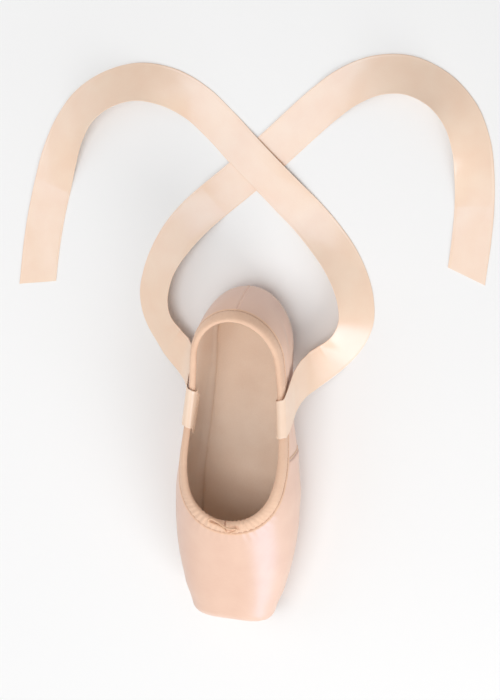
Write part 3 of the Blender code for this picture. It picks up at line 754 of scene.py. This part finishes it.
def satin_relief(points, collar_gap, collar_place):
    """All that the satin stands proud of the plain form, in metres."""
    back, side, height = points[..., 0], points[..., 1], points[..., 2]
    clear = ease(1.0, 1.5, collar_gap / BINDING_WIDTH)
    foot = underside(back)
    total = side_seam(points, collar_gap) + pleats(points)
    total = total + creases(points) * clear * ease(1.0, 2.2, height / foot)
    pucker = np.sin(2 * math.pi * collar_place / (3.6 * MM) + 1.2 * np.sin(collar_place / (9 * MM)))
    near = ease(19 * MM, 9 * MM, collar_gap) * ease(75 * MM, 15 * MM, np.abs(collar_place))
    total = total + 0.09 * MM * pucker * near
    gather = np.sin(2 * math.pi * back / (5.2 * MM) + 1.9 * np.sin(back / (11 * MM)))
    gather = gather * (0.6 + 0.4 * np.sin(back / (7.4 * MM) + side / (16 * MM)))
    low = ease(9 * MM, 4 * MM, height - foot) * ease(40 * MM, 60 * MM, back)
    total = total + 0.24 * MM * gather * low
    at_heel = (back > 0.9 * LENGTH) * ease(1.0, 1.2, collar_gap / BINDING_WIDTH)
    welt = 0.16 * MM * bell(np.abs(side) - 1.2 * MM, 0.7 * MM)
    return total + (welt - 0.42 * MM * bell(side, 0.45 * MM)) * at_heel


def make_satin(material):
    """The satin skin: its outer face carries the relief, and its inner face lies in the wall."""
    seam = SEAM_PLACE * LENGTH

    def pace(line):
        back, side = line[:, 0], line[:, 1]
        step = 0.55 * MM + 0.95 * MM * ease(40 * MM, 75 * MM, back)
        step = np.where(np.abs(back - seam) < 5 * MM, 0.4 * MM, step)
        return np.where((back > 0.9 * LENGTH) & (side < 3 * MM), 0.3 * MM, step)

    half = shell_paths(outline_ends(pace), 96, 10 * MM)
    skin = both_sides(half)
    edge = skin[:, -1]
    place = lengths_along(np.vstack((edge, edge[:1])))
    total = place[-1]
    place = np.where(place[:-1] > 0.5 * total, place[:-1] - total, place[:-1])
    gap = np.cumsum(np.linalg.norm(np.diff(skin[:, ::-1], axis=1), axis=2), axis=1)
    gap = np.concatenate((np.zeros((len(skin), 1)), gap), axis=1)[:, ::-1]
    normal = outward(skin[..., 0], skin[..., 1], skin[..., 2])
    relief = satin_relief(skin, gap, place[:, None])
    outer = skin + normal * relief[..., None]
    picks = np.linspace(skin.shape[1] - 1, 0, 8).astype(int)
    inner = (skin - normal * 0.5 * WALL)[:, picks]
    rings = np.concatenate((outer, inner), axis=1)
    back, height = skin[..., 0], skin[..., 2]
    # Dirt at the toe's tip and along the sole edge.
    soil = 0.16 * ease(12 * MM, 5 * MM, height) * ease(30 * MM, 8 * MM, back)
    soil = soil + 0.22 * ease(1.35, 1.0, height / underside(back))
    foot = ease(1.0, 1.4, gap / BINDING_WIDTH) * ease(1.0, 2.0, height / underside(back))
    # Painted shade: a dark line at the foot of the folded side seam.
    soil = soil + 0.75 * bell(back - seam - 0.8 * SEAM_EDGE, 0.35 * MM) * foot
    soil = np.concatenate((soil, np.zeros(inner.shape[:2])), axis=1)
    return loft("satin_upper", to_world(rings), material, closed=True, marks={"soil": np.clip(soil, 0, 1)})


def make_lining(material):
    """The cotton lining: its visible face is the inside of the wall."""
    half = shell_paths(outline_ends(lambda line: np.full(len(line), 1.5 * MM)), 54, 6 * MM)
    skin = both_sides(half)
    normal = outward(skin[..., 0], skin[..., 1], skin[..., 2])
    ripple = 0.12 * MM * waves(skin, 15 * MM, 21) + 0.06 * MM * waves(skin, 6 * MM, 22)
    seam = 0.35 * MM * bell(skin[..., 0] - SEAM_PLACE * LENGTH, 1.5 * MM)
    fade = ease(0.0, 8 * MM, skin[..., 2] - underside(skin[..., 0]))
    inner = skin - normal * (WALL + (ripple + seam) * fade)[..., None]
    picks = np.linspace(skin.shape[1] - 1, 0, 8).astype(int)
    outer = (skin - normal * 0.55 * WALL)[:, picks]
    rings = np.concatenate((inner, outer), axis=1)
    return loft("cotton_lining", to_world(rings), material, closed=True)


# The casing's section, run round from its stitched outer edge over the collar to its inner edge and
# back under itself. Columns, in millimetres: out from the satin, down from the collar's edge
CASING_ROWS = (
    (0.02, 8.5), (0.45, 8.62), (0.78, 8.35), (0.82, 7.95), (0.66, 7.45), (0.34, 7.05), (0.30, 6.75),
    (0.55, 6.3), (0.86, 5.6), (1.08, 4.6), (1.20, 3.4), (1.24, 2.2), (1.20, 1.1), (1.04, 0.1),
    (0.70, -0.72), (0.12, -1.16), (-0.6, -1.34), (-1.35, -1.32), (-2.05, -1.06), (-2.62, -0.45),
    (-2.92, 0.5), (-3.00, 1.7), (-2.96, 3.0), (-2.84, 4.3), (-2.62, 5.3), (-2.30, 5.75), (-2.40, 6.15),
    (-2.62, 6.5), (-2.50, 6.95), (-2.05, 7.1), (-1.82, 6.9), (-1.82, 3.5), (-1.82, -0.02),
    (0.02, -0.02), (0.02, 4.2),
)


def make_binding(material, bow):
    """The folded casing over the collar's edge, gathered by its string and slit at the throat."""
    line = outline()
    probe = np.array([column_path(end)[-1] for end in line[::6]])
    along = lengths_along(probe)
    marks = [0.0]
    while marks[-1] < along[-1]:
        marks.append(marks[-1] + (0.22 if marks[-1] < 4 * MM else 0.42 if marks[-1] < 40 * MM else 0.8) * MM)
    marks = np.array(marks) * along[-1] / marks[-1]
    ends = read_at(line, np.interp(marks, along, np.arange(len(line))[::6]))
    rows = np.array(CASING_ROWS) * MM
    half = []
    for end in ends:
        path = column_path(end)
        edge = path[-1]
        way = edge - read_at(path, from_edge(path, WALL))
        way /= np.linalg.norm(way)
        bases = read_at(path, from_edge(path, np.maximum(rows[:, 1], 0)))
        bases = bases - way * np.minimum(rows[:, 1], 0)[:, None]
        half.append(np.stack((bases, outward(*bases.T)), axis=1))
    half = np.array(half)
    low = np.array([np.where(rows[:, 1] > 0, 1, 0)])
    normals = half[:, :, 1]
    edge_normals = normals[:, np.argmin(np.abs(rows[:, 1]))][:, None]
    normals = np.where(low[..., None] > 0, normals, edge_normals)
    base = both_sides(half[:, :, 0])
    normal = both_sides(normals)
    around = np.concatenate((marks, -marks[-2:0:-1]))
    offset = np.broadcast_to(rows[:, 0], base.shape[:2])
    down = np.broadcast_to(rows[:, 1], base.shape[:2])
    s = around[:, None]
    outer = ease(-1.2 * MM, 0.4 * MM, offset)
    soft = ease(8.4 * MM, 6.6 * MM, down) * (np.abs(offset) > 0.1 * MM)
    gather = 0.34 * bell(s - 11 * MM, 9 * MM) + 0.16 * bell(s + 16 * MM, 12 * MM) + 0.07
    ruffle = np.sin(2 * math.pi * s / (2.9 * MM) + 1.3 * np.sin(s / (5.3 * MM)))
    ruffle = ruffle * gather * MM + 0.10 * MM * waves(base, 17 * MM, 31)
    slit = bell(s, 0.42 * MM) * ease(7.6 * MM, 6.6 * MM, down) * (down < 7 * MM)
    swell = 1 + 0.14 * np.sin(s / (21 * MM))
    shift = ruffle * soft * (2 * outer - 1) - 0.75 * MM * slit * (offset > 0.1 * MM)
    spots = base + normal * (np.where(offset > 0, offset * swell, offset) + shift)[..., None]
    # Painted shade: dark lines in the slit, in the stitched groove, along the inner fold and at the rim's foot, and a
    # painted shadow under the bow; besides, a faint darker tone everywhere but the rim below the groove.
    shade = bell(s, 0.55 * MM) * (down < 7 * MM) + 0.55 * bell(down - 6.9 * MM, 0.35 * MM) * (offset > 0.1 * MM)
    shade = shade + 0.5 * (down > 0) * (offset < -2.2 * MM) * bell(down - 5.75 * MM, 0.4 * MM)
    shade = shade + 0.45 * (offset > 0) * bell(down - 8.6 * MM, 0.14 * MM) + 0.07 * (down < 6.6 * MM)
    near_bow = np.linalg.norm(to_world(spots)[:, :, None] - bow[None, None], axis=3).min(axis=2)
    shade = shade + 0.55 * bell(near_bow, 1.3 * MM)
    binding = loft("casing", to_world(spots), material, closed=True, marks={"soil": np.clip(shade, 0, 1)})
    groove = to_world(spots[:, 6])
    ups = to_world(spots[:, 6] + normal[:, 6]) - groove
    return binding, groove, ups


def edge_distance(points, outline_points):
    """Distance in plan from each point to a dense closed outline."""
    flat = points.reshape(-1, 2)
    nearest = np.full(len(flat), 1.0)
    for chunk in range(0, len(flat), 2000):
        part = flat[chunk:chunk + 2000]
        gaps = np.linalg.norm(part[:, None] - outline_points[None], axis=2)
        nearest[chunk:chunk + 2000] = gaps.min(axis=1)
    return nearest.reshape(points.shape[:-1])


def end_spaced(front, rear, tip, heel, count, ends):
    angles = np.linspace(0, math.pi / 2, ends)[1:]
    ahead = front + tip * (1 - np.cos(angles))
    behind = (rear - heel * (1 - np.cos(angles)))[::-1]
    between = np.linspace(front + tip, rear - heel, count)[1:-1]
    return np.concatenate((ahead, between, behind))


def sole_section(width, bottom_count, top_count):
    """Places across one rung: along the bottom from side to side, then back along the top."""
    near = np.array((0, 0.12, 0.28, 0.5, 0.75, 1.0, 1.25, 1.5, 1.75, 2.05, 2.4, 2.9)) * MM
    near = near * min(1.0, width / (6 * MM))
    middle = np.linspace(-(width - near[-1]), width - near[-1], bottom_count)[1:-1]
    bottom = np.concatenate((-width + near, middle, (width - near)[::-1]))
    top = np.linspace(width, -width, top_count)
    return np.concatenate((bottom, top))


def make_outsole(material):
    """The leather outsole: rounded lower edge, channel inside it and scored forepart."""
    front = OUTSOLE_TIP
    rear = LENGTH - OUTSOLE_HEEL
    length = rear - front
    backs = end_spaced(front, rear, SOLE_TIP_ROUND * length, SOLE_HEEL_ROUND * length, 330, 34)
    widths = sole_half_width(backs)
    dense = np.linspace(front, rear, 1600)
    dense = np.concatenate((dense, end_spaced(front, rear, 2 * MM, 2 * MM, 10, 60)))
    dense.sort()
    rim = sole_half_width(dense)
    ring = np.concatenate((np.stack((dense, rim), 1), np.stack((dense, -rim), 1)))
    rungs = np.array([sole_section(width, 78, 12) for width in widths])
    bottom = rungs.shape[1] - 12
    plan = np.stack((np.broadcast_to(backs[:, None], rungs.shape), rungs), axis=-1)
    inside = edge_distance(plan, ring)
    curve = 0.7 * MM
    cut = np.clip(curve - inside, 0, curve)
    lift = curve - np.sqrt(curve ** 2 - cut ** 2)
    slope = plan[..., 0] + plan[..., 1]
    cross = plan[..., 0] - plan[..., 1]
    pitch = 6.4 * MM
    wander = 0.5 * MM * np.sin(plan[..., 0] / (7 * MM)) * np.sin(plan[..., 1] / (9 * MM))
    lines = np.maximum(
        bell(np.mod(slope + wander, pitch) - 0.5 * pitch, 0.42 * MM),
        bell(np.mod(cross - wander, pitch) - 0.5 * pitch, 0.42 * MM),
    )
    forepart = ease(26 * MM, 32 * MM, plan[..., 0]) * ease(112 * MM, 104 * MM, plan[..., 0])
    score = lines * forepart * ease(2.6 * MM, 3.4 * MM, inside)
    channel = bell(inside - 1.7 * MM, 0.32 * MM)
    relief = 0.34 * MM * score + 0.26 * MM * channel
    relief = relief + 0.05 * MM * (1 + waves(np.concatenate((plan, plan[..., :1]), axis=-1), 11 * MM, 41))
    base = underside(plan[..., 0]) - GAP - OUTSOLE_THICK
    under = base + lift + relief * ease(0.2 * MM, 0.9 * MM, inside)
    over = underside(plan[..., 0]) - 0.06 * MM
    is_top = np.arange(rungs.shape[1])[None] >= bottom
    height = np.where(is_top, over, under)
    points = np.concatenate((plan, height[..., None]), axis=-1)
    rub = 0.12 * bell(plan[..., 0] - 80 * MM, 34 * MM) + 0.10 * bell(plan[..., 0] - 206 * MM, 18 * MM)
    # Darker along the scored lines and the channel, rubbed dirt at ball and heel, and a faint even tone on the hidden
    # top face.
    soil = 0.55 * score + 0.5 * channel + rub * ease(2 * MM, 6 * MM, inside)
    soil = np.where(is_top, 0.2, np.clip(soil, 0, 1))
    return loft("leather_outsole", to_world(points), material, sharp=60, marks={"soil": soil})


def sole_edge(height, out, count=700):
    """A line round the outsole's outline, at a height below the upper and a step out from it."""
    front = OUTSOLE_TIP
    rear = LENGTH - OUTSOLE_HEEL
    length = rear - front
    backs = end_spaced(front, rear, SOLE_TIP_ROUND * length, SOLE_HEEL_ROUND * length, 300, 60)
    half = np.stack((backs, sole_half_width(backs)), axis=1)
    loop = np.concatenate((half, (half * np.array((1, -1)))[::-1]))
    loop = np.vstack((loop, loop[:1]))
    loop = read_at(loop, np.interp(np.linspace(0, lengths_along(loop)[-1], count + 1)[:-1],
                                   lengths_along(loop), np.arange(len(loop))))
    ahead = np.roll(loop, -1, axis=0) - np.roll(loop, 1, axis=0)
    ahead /= np.linalg.norm(ahead, axis=1)[:, None]
    side = np.stack((-ahead[:, 1], ahead[:, 0]), axis=1)
    if np.sum(side * (loop - loop.mean(axis=0))) < 0:
        side = -side
    spots = loop + side * out
    return np.column_stack((spots, underside(spots[:, 0]) - height)), side


def make_sole_seam(material):
    """The dark line of glue and thread where the satin runs in under the sole, a brown tube that also stands for
    painted shadow in the gap there.
    """
    line, side = sole_edge(0.12 * MM, 0.1 * MM)
    rings = []
    for k in range(8):
        turn = 2 * math.pi * k / 8
        swell = 0.36 + 0.12 * np.sin(np.arange(len(line)) * 0.61) * np.sin(np.arange(len(line)) * 0.17)
        step = swell[:, None] * MM * np.column_stack((side * math.cos(turn), np.full(len(line), math.sin(turn))))
        rings.append(line + step)
    return loft("sole_seam_and_shadow", to_world(np.stack(rings, axis=1)), material, closed=True)


def insole_half_width(back):
    near = np.zeros_like(back)
    far = np.full_like(back, 0.5 * BALL_WIDTH)
    for _ in range(BISECTIONS):
        half = 0.5 * (near + far)
        within = last_form(back, half, underside(back) + PROBE) < -FLAT_SHARE * PROBE
        near = np.where(within, half, near)
        far = np.where(within, far, half)
    return np.maximum(near - INSOLE_INSET, 0)


def make_insole(material):
    """The cloth-covered insole, a little dished, with a rolled edge and faint ripples."""
    places = np.arange(PLATFORM_EDGE + WALL + INSOLE_INSET, LENGTH, 0.1 * MM)
    inside = places[insole_half_width(places) > INSOLE_LEAST]
    front, rear = inside[0], inside[-1]
    backs = end_spaced(front, rear, 6 * MM, 20 * MM, 150, 14)
    widths = insole_half_width(backs) + 1.6 * MM
    rungs = []
    for back, width in zip(backs, widths):
        share = np.sin(np.linspace(-math.pi / 2, math.pi / 2, 41))
        roll = 0.6 * MM * np.sqrt(np.clip(1 - share ** 8, 0, 1))
        spots = np.column_stack((np.full(41, back), share * width))
        level = underside(back) + WALL + GAP + INSOLE_THICK - 0.6 * MM
        plan = np.column_stack((spots, spots[:, :1]))
        dish = 0.8 * MM * (share ** 2) + 0.08 * MM * waves(plan, 12 * MM, 51)
        top = np.column_stack((spots, level + roll + dish * np.clip(1 - share ** 8, 0, 1)))
        low = np.column_stack((spots[::-6], np.full(len(spots[::-6]), underside(back) + WALL - 0.1 * MM)))
        rungs.append(np.vstack((top, low)))
    return loft("insole_sock", to_world(np.array(rungs)), material, sharp=60)


def route_line(rows, count):
    """Stations along a smooth curve through a route's points, with the way of the width."""
    table = np.array(rows, dtype=float)
    spots = table[:, :3] * MM
    bearing = np.radians(table[:, 3])
    tilt = np.radians(table[:, 4])
    widths = (np.cos(bearing) * np.cos(tilt), np.sin(bearing) * np.cos(tilt), np.sin(tilt))
    knots = np.column_stack((lengths_along(spots), spots, *widths))
    fine = np.linspace(0, knots[-1, 0], 60 * len(rows))
    dense = np.column_stack([smooth(knots, column, fine) for column in range(1, 7)])
    line = read_at(dense, spread(dense[:, :3], count, 3 * MM))
    points = line[:, :3]
    ways = np.gradient(points, axis=0)
    ways /= np.linalg.norm(ways, axis=1)[:, None]
    across = line[:, 3:] / np.linalg.norm(line[:, 3:], axis=1)[:, None]
    squareness = np.linalg.norm(np.cross(ways, across), axis=1)
    return points, across / squareness[:, None], ways


def make_ribbon(name, rows, material, seed, over=None):
    """A satin ribbon with its two selvedges, settled on the floor, its free end cut on a slant."""
    points, across, ways = route_line(rows, 520)
    thick = 0.34 * MM
    low = points[:, 2] - 0.5 * RIBBON_WIDTH * np.abs(across[:, 2]) - 0.5 * thick
    drop = (low - 0.12 * MM) * (1 - ease(1.2 * MM, 2.6 * MM, low))
    if over is not None:
        near = ease(62 * MM, 40 * MM, np.linalg.norm(points[:, :2] - np.array(over), axis=1))
        drop = drop + 1.55 * MM * near * ease(1.2 * MM, 2.6 * MM, low)
    points = points - np.column_stack((np.zeros((len(points), 2)), drop))
    place = lengths_along(points)
    normal = np.cross(ways, across)
    normal /= np.linalg.norm(normal, axis=1)[:, None]
    shares = np.concatenate((np.linspace(-1, -0.86, 5), np.linspace(-0.86, 0.86, 15)[1:-1], np.linspace(0.86, 1, 5)))
    free = ease(60 * MM, 130 * MM, place)
    wave = 0.45 * MM * np.sin(place / (17 * MM) + seed) + 0.3 * MM * np.sin(place / (7.3 * MM) + 2 * seed)
    grid = []
    for share in shares:
        cup = 0.5 * MM * (share ** 2 - 0.4) * np.sin(place / (29 * MM) + seed) * free
        flutter = wave * share * free * 0.6
        slant = RIBBON_SLANT * 0.5 * (share + 1) * ease(place[-1] - 26 * MM, place[-1], place)
        spot = points + across * (share * 0.5 * RIBBON_WIDTH) + ways * slant[:, None]
        rise = np.maximum(cup + flutter, 0) * np.sign(normal[:, 2] + 1e-9)
        grid.append(spot + normal * rise[:, None])
    grid = np.stack(grid, axis=1)
    lip = 0.5 * thick * (1 + 0.7 * ease(0.90, 0.95, np.abs(shares)) - 0.75 * ease(0.965, 1.0, np.abs(shares)))
    top = grid + normal[:, None] * lip[None, :, None]
    under = grid - normal[:, None] * lip[None, :, None]
    rings = np.concatenate((top, under[:, ::-1]), axis=1)
    ribbon = loft(name, rings, material, sharp=70)
    return ribbon, points, across, ways, normal


def ribbon_patch(points, across, ways, normal, length):
    """Stitch ends round the rectangle by which a ribbon is sewn inside the quarter."""
    place = lengths_along(points)
    runs = []
    inset = 0.5 * RIBBON_WIDTH - 1.6 * MM
    start = 1.8 * MM
    rows = [(-inset, start, length), (inset, start, length)]
    up = normal[5] * np.sign(-normal[5, 1] * points[5, 1])
    lift = up * 0.2 * MM

    def spot(along, side):
        at = np.array([np.interp(along, place, axis) for axis in points.T])
        wide = np.array([np.interp(along, place, axis) for axis in across.T])
        return at + wide * side + lift

    for side, low, high in rows:
        for at in np.arange(low, high, 2.1 * MM):
            runs.append((spot(at, side), spot(at + 1.4 * MM, side), up))
    for along in (start, length):
        for at in np.arange(-inset, inset - 1.4 * MM, 2.1 * MM):
            runs.append((spot(along, at), spot(along, at + 1.4 * MM), up))
    return runs


def seam_runs():
    """Zigzag stitches behind the folded side seam, on both sides of the shoe."""
    runs = []
    for hand in (1, -1):
        for first, second in ((1.6, 2.6), (2.6, 1.6)):
            lines = []
            for step in (first, second):
                back = SEAM_PLACE * LENGTH + step * MM
                path = column_path(np.array((back, half_width(back))))
                path = path[path[:, 2] > 1.9 * underside(back)]
                keep = read_at(path, np.linspace(0, from_edge(path, BINDING_WIDTH + 0.4 * MM), 400))
                lines.append(keep)
            count = int(lengths_along(lines[0])[-1] / (1.5 * MM))
            starts = np.linspace(0, 399, 2 * count + 1)
            offset = 0 if first < second else 1
            for k in range(offset, 2 * count, 2):
                low = read_at(lines[0], starts[k])
                high = read_at(lines[1], starts[k + 1])
                normals = outward(*np.stack((low, high), axis=1))
                ends = np.array((low, high)) + normals * 0.14 * MM
                ends[:, 1] *= hand
                up = normals[0] * np.array((-1, hand, 1))
                world = to_world(ends)
                runs.append((world[0], world[1], up))
    return runs


def make_string(material):
    """The drawstring's bow as a soft cord on a smooth curve."""
    spots = np.array(STRING_ROUTE) * MM
    knots = np.column_stack((lengths_along(spots), spots))
    wanted = np.linspace(0, knots[-1, 0], 90)
    points = np.column_stack([smooth(knots, column, wanted) for column in (1, 2, 3)])
    curve = bpy.data.curves.new("bow_string", "CURVE")
    curve.dimensions = "3D"
    curve.bevel_depth = 0.5 * STRING_DIAMETER
    curve.bevel_resolution = 4
    curve.use_fill_caps = True
    spline = curve.splines.new("POLY")
    spline.points.add(len(points) - 1)
    for spot, point in zip(spline.points, points):
        spot.co = (*point, 1)
    curve.materials.append(material)
    string = bpy.data.objects.new("bow_string", curve)
    bpy.context.scene.collection.objects.link(string)
    return string, points


def area_light(name, spot, aim, size, power, color=(1, 1, 1)):
    light = bpy.data.lights.new(name, "AREA")
    light.shape = "RECTANGLE"
    light.size, light.size_y = size
    light.energy = power
    light.color = color
    obj = bpy.data.objects.new(name, light)
    obj.location = spot
    obj.rotation_euler = (Vector(aim) - Vector(spot)).to_track_quat("-Z", "Y").to_euler()
    bpy.context.scene.collection.objects.link(obj)
    return obj


def make_stage():
    """Pale floor, soft light and the camera at the photograph's angle."""
    mesh = bpy.data.meshes.new("floor")
    reach = 6.0
    mesh.from_pydata([(-reach, -reach, 0), (reach, -reach, 0), (reach, reach, 0), (-reach, reach, 0)], [],
                     [(0, 1, 2, 3)])
    paint = bpy.data.materials.new("floor_white")
    paint.use_nodes = True
    shader = paint.node_tree.nodes["Principled BSDF"]
    shader.inputs["Base Color"].default_value = (0.93, 0.93, 0.93, 1)
    shader.inputs["Roughness"].default_value = 0.9
    shader.inputs["Specular IOR Level"].default_value = 0.1
    mesh.materials.append(paint)
    floor = bpy.data.objects.new("floor", mesh)
    bpy.context.scene.collection.objects.link(floor)

    world = bpy.data.worlds.new("studio")
    world.use_nodes = True
    world.node_tree.nodes["Background"].inputs["Color"].default_value = (1, 1, 1, 1)
    world.node_tree.nodes["Background"].inputs["Strength"].default_value = 0.46
    bpy.context.scene.world = world
    area_light("key", (1.12, 0.84, 0.62), (0.03, 0, 0.03), (1.0, 0.8), 12.6)
    area_light("fill", (-0.3, -1.2, 0.9), (0, 0, 0.02), (1.0, 0.8), 2.2)
    area_light("top", (-0.1, -0.25, 1.5), (-0.05, 0, 0), (1.0, 1.0), 8.4)

    data = bpy.data.cameras.new("camera")
    data.lens = CAMERA_LENS
    data.sensor_width = 36
    data.clip_end = 20
    camera = bpy.data.objects.new("camera", data)
    back = CAMERA_BACK.normalized()
    right = (CAMERA_RIGHT - CAMERA_RIGHT.dot(back) * back).normalized()
    up = back.cross(right)
    basis = Matrix((right, up, back)).transposed().to_4x4()
    camera.matrix_world = Matrix.Translation(TARGET + back * CAMERA_DISTANCE) @ basis
    bpy.context.scene.collection.objects.link(camera)
    bpy.context.scene.camera = camera
    bpy.context.scene.view_settings.view_transform = "Standard"
    bpy.context.scene.view_settings.look = "None"


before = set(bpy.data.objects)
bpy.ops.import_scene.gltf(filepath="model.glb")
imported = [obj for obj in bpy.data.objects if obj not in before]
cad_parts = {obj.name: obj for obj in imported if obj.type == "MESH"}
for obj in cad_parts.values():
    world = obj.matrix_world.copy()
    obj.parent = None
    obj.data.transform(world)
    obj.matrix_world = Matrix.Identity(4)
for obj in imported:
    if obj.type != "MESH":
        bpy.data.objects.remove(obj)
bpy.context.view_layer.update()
make_stage()

# The satin's darker mark colour is for dirt and for the painted shade line at the side seam.
satin = cloth("satin", (247, 210, 186), (240, 200, 176), 0.35, 0.24 * MM, 0.000004, stretch=(0.03, 1.0), sheen=0.1,
              anisotropic=0.5, specular=0.78, tint=(0.2, 0.53, 1.0), soil=(200, 156, 132), slub=2.2,
              slub_tone=0.25, rough_swing=0.03, gap_share=0.04, slub_scale=2600.0)
ribbon_satin = cloth("ribbon_satin", (255, 227, 202), (252, 218, 191), 0.29, 0.22 * MM, 0.000003,
                     stretch=(0.03, 1.0), sheen=0.1, anisotropic=0.5, specular=0.85, tint=(0.5, 0.75, 1.0),
                     slub=2.6, slub_tone=0.15, rough_swing=0.015, gap_share=0.04, slub_scale=2600.0)
# The casing's darker mark colour paints shade in its slit, groove, inner fold and rim, and shadow under the bow.
casing_cotton = cloth("casing_cotton", (247, 209, 181), (238, 198, 170), 0.72, 0.42 * MM, 0.00008, sheen=0.3,
                      specular=0.25, soil=(168, 122, 98), twill=0.6, slub=0.4)
lining_cotton = cloth("lining_cotton", (249, 230, 212), (242, 217, 197), 0.82, 0.5 * MM, 0.00010, sheen=0.3,
                      specular=0.2, twill=0.785, slub=0.4)
sock_cotton = cloth("sock_cotton", (245, 224, 205), (236, 211, 190), 0.85, 0.55 * MM, 0.00012, sheen=0.3,
                    specular=0.2, slub=0.5)
pink_leather = leather("pink_leather", (238, 206, 194), (228, 192, 178), (176, 134, 120), 0.66)
# Dark brown for the sole seam's thread and for painted shadow in the gap under the satin.
seam_brown_and_shadow = thread("seam_brown_and_shadow", (160, 112, 92), (104, 66, 52), 0.75)
seam_thread = thread("seam_thread", (250, 226, 200), (234, 200, 172))
casing_thread = thread("casing_thread", (222, 178, 152), (196, 150, 124))
string_cotton = thread("string_cotton", (243, 204, 172), (222, 174, 140), 0.7)

left, left_line, left_wide, left_way, left_up = make_ribbon("ribbon_left_satin", LEFT_ROUTE, ribbon_satin, 0.7,
                                                            over=(-0.1845, 0.001))
right, right_line, right_wide, right_way, right_up = make_ribbon("ribbon_right_satin", RIGHT_ROUTE, ribbon_satin, 2.2)
string, string_line = make_string(string_cotton)
place_piece(left, "ribbon", "ribbon_left")
place_piece(right, "ribbon", "ribbon_right")
place_piece(string, "string", "drawstring")

place_piece(make_satin(satin), "satin", "upper")
place_piece(make_lining(lining_cotton), "lining")
casing, groove, groove_up = make_binding(casing_cotton, string_line[::6])
place_piece(casing, "binding", "binding")
loop = np.vstack((groove, groove[:1]))
loop_up = np.vstack((groove_up, groove_up[:1]))
place_piece(stitches("casing_stitches", along_line(loop, loop_up, 1.75 * MM, 0.66), 0.17 * MM, casing_thread), "string")
place_piece(make_outsole(pink_leather), "sole_leather", "outsole")
place_piece(make_sole_seam(seam_brown_and_shadow), "sole_leather")
place_piece(make_insole(sock_cotton), "lining", "insole")
place_piece(stitches("seam_stitches", seam_runs(), 0.2 * MM, seam_thread), "string")
patch = ribbon_patch(left_line, left_wide, left_way, left_up, 16 * MM)
patch += ribbon_patch(right_line, right_wide, right_way, right_up, 16 * MM)
place_piece(stitches("ribbon_stitches", patch, 0.15 * MM, seam_thread), "string")
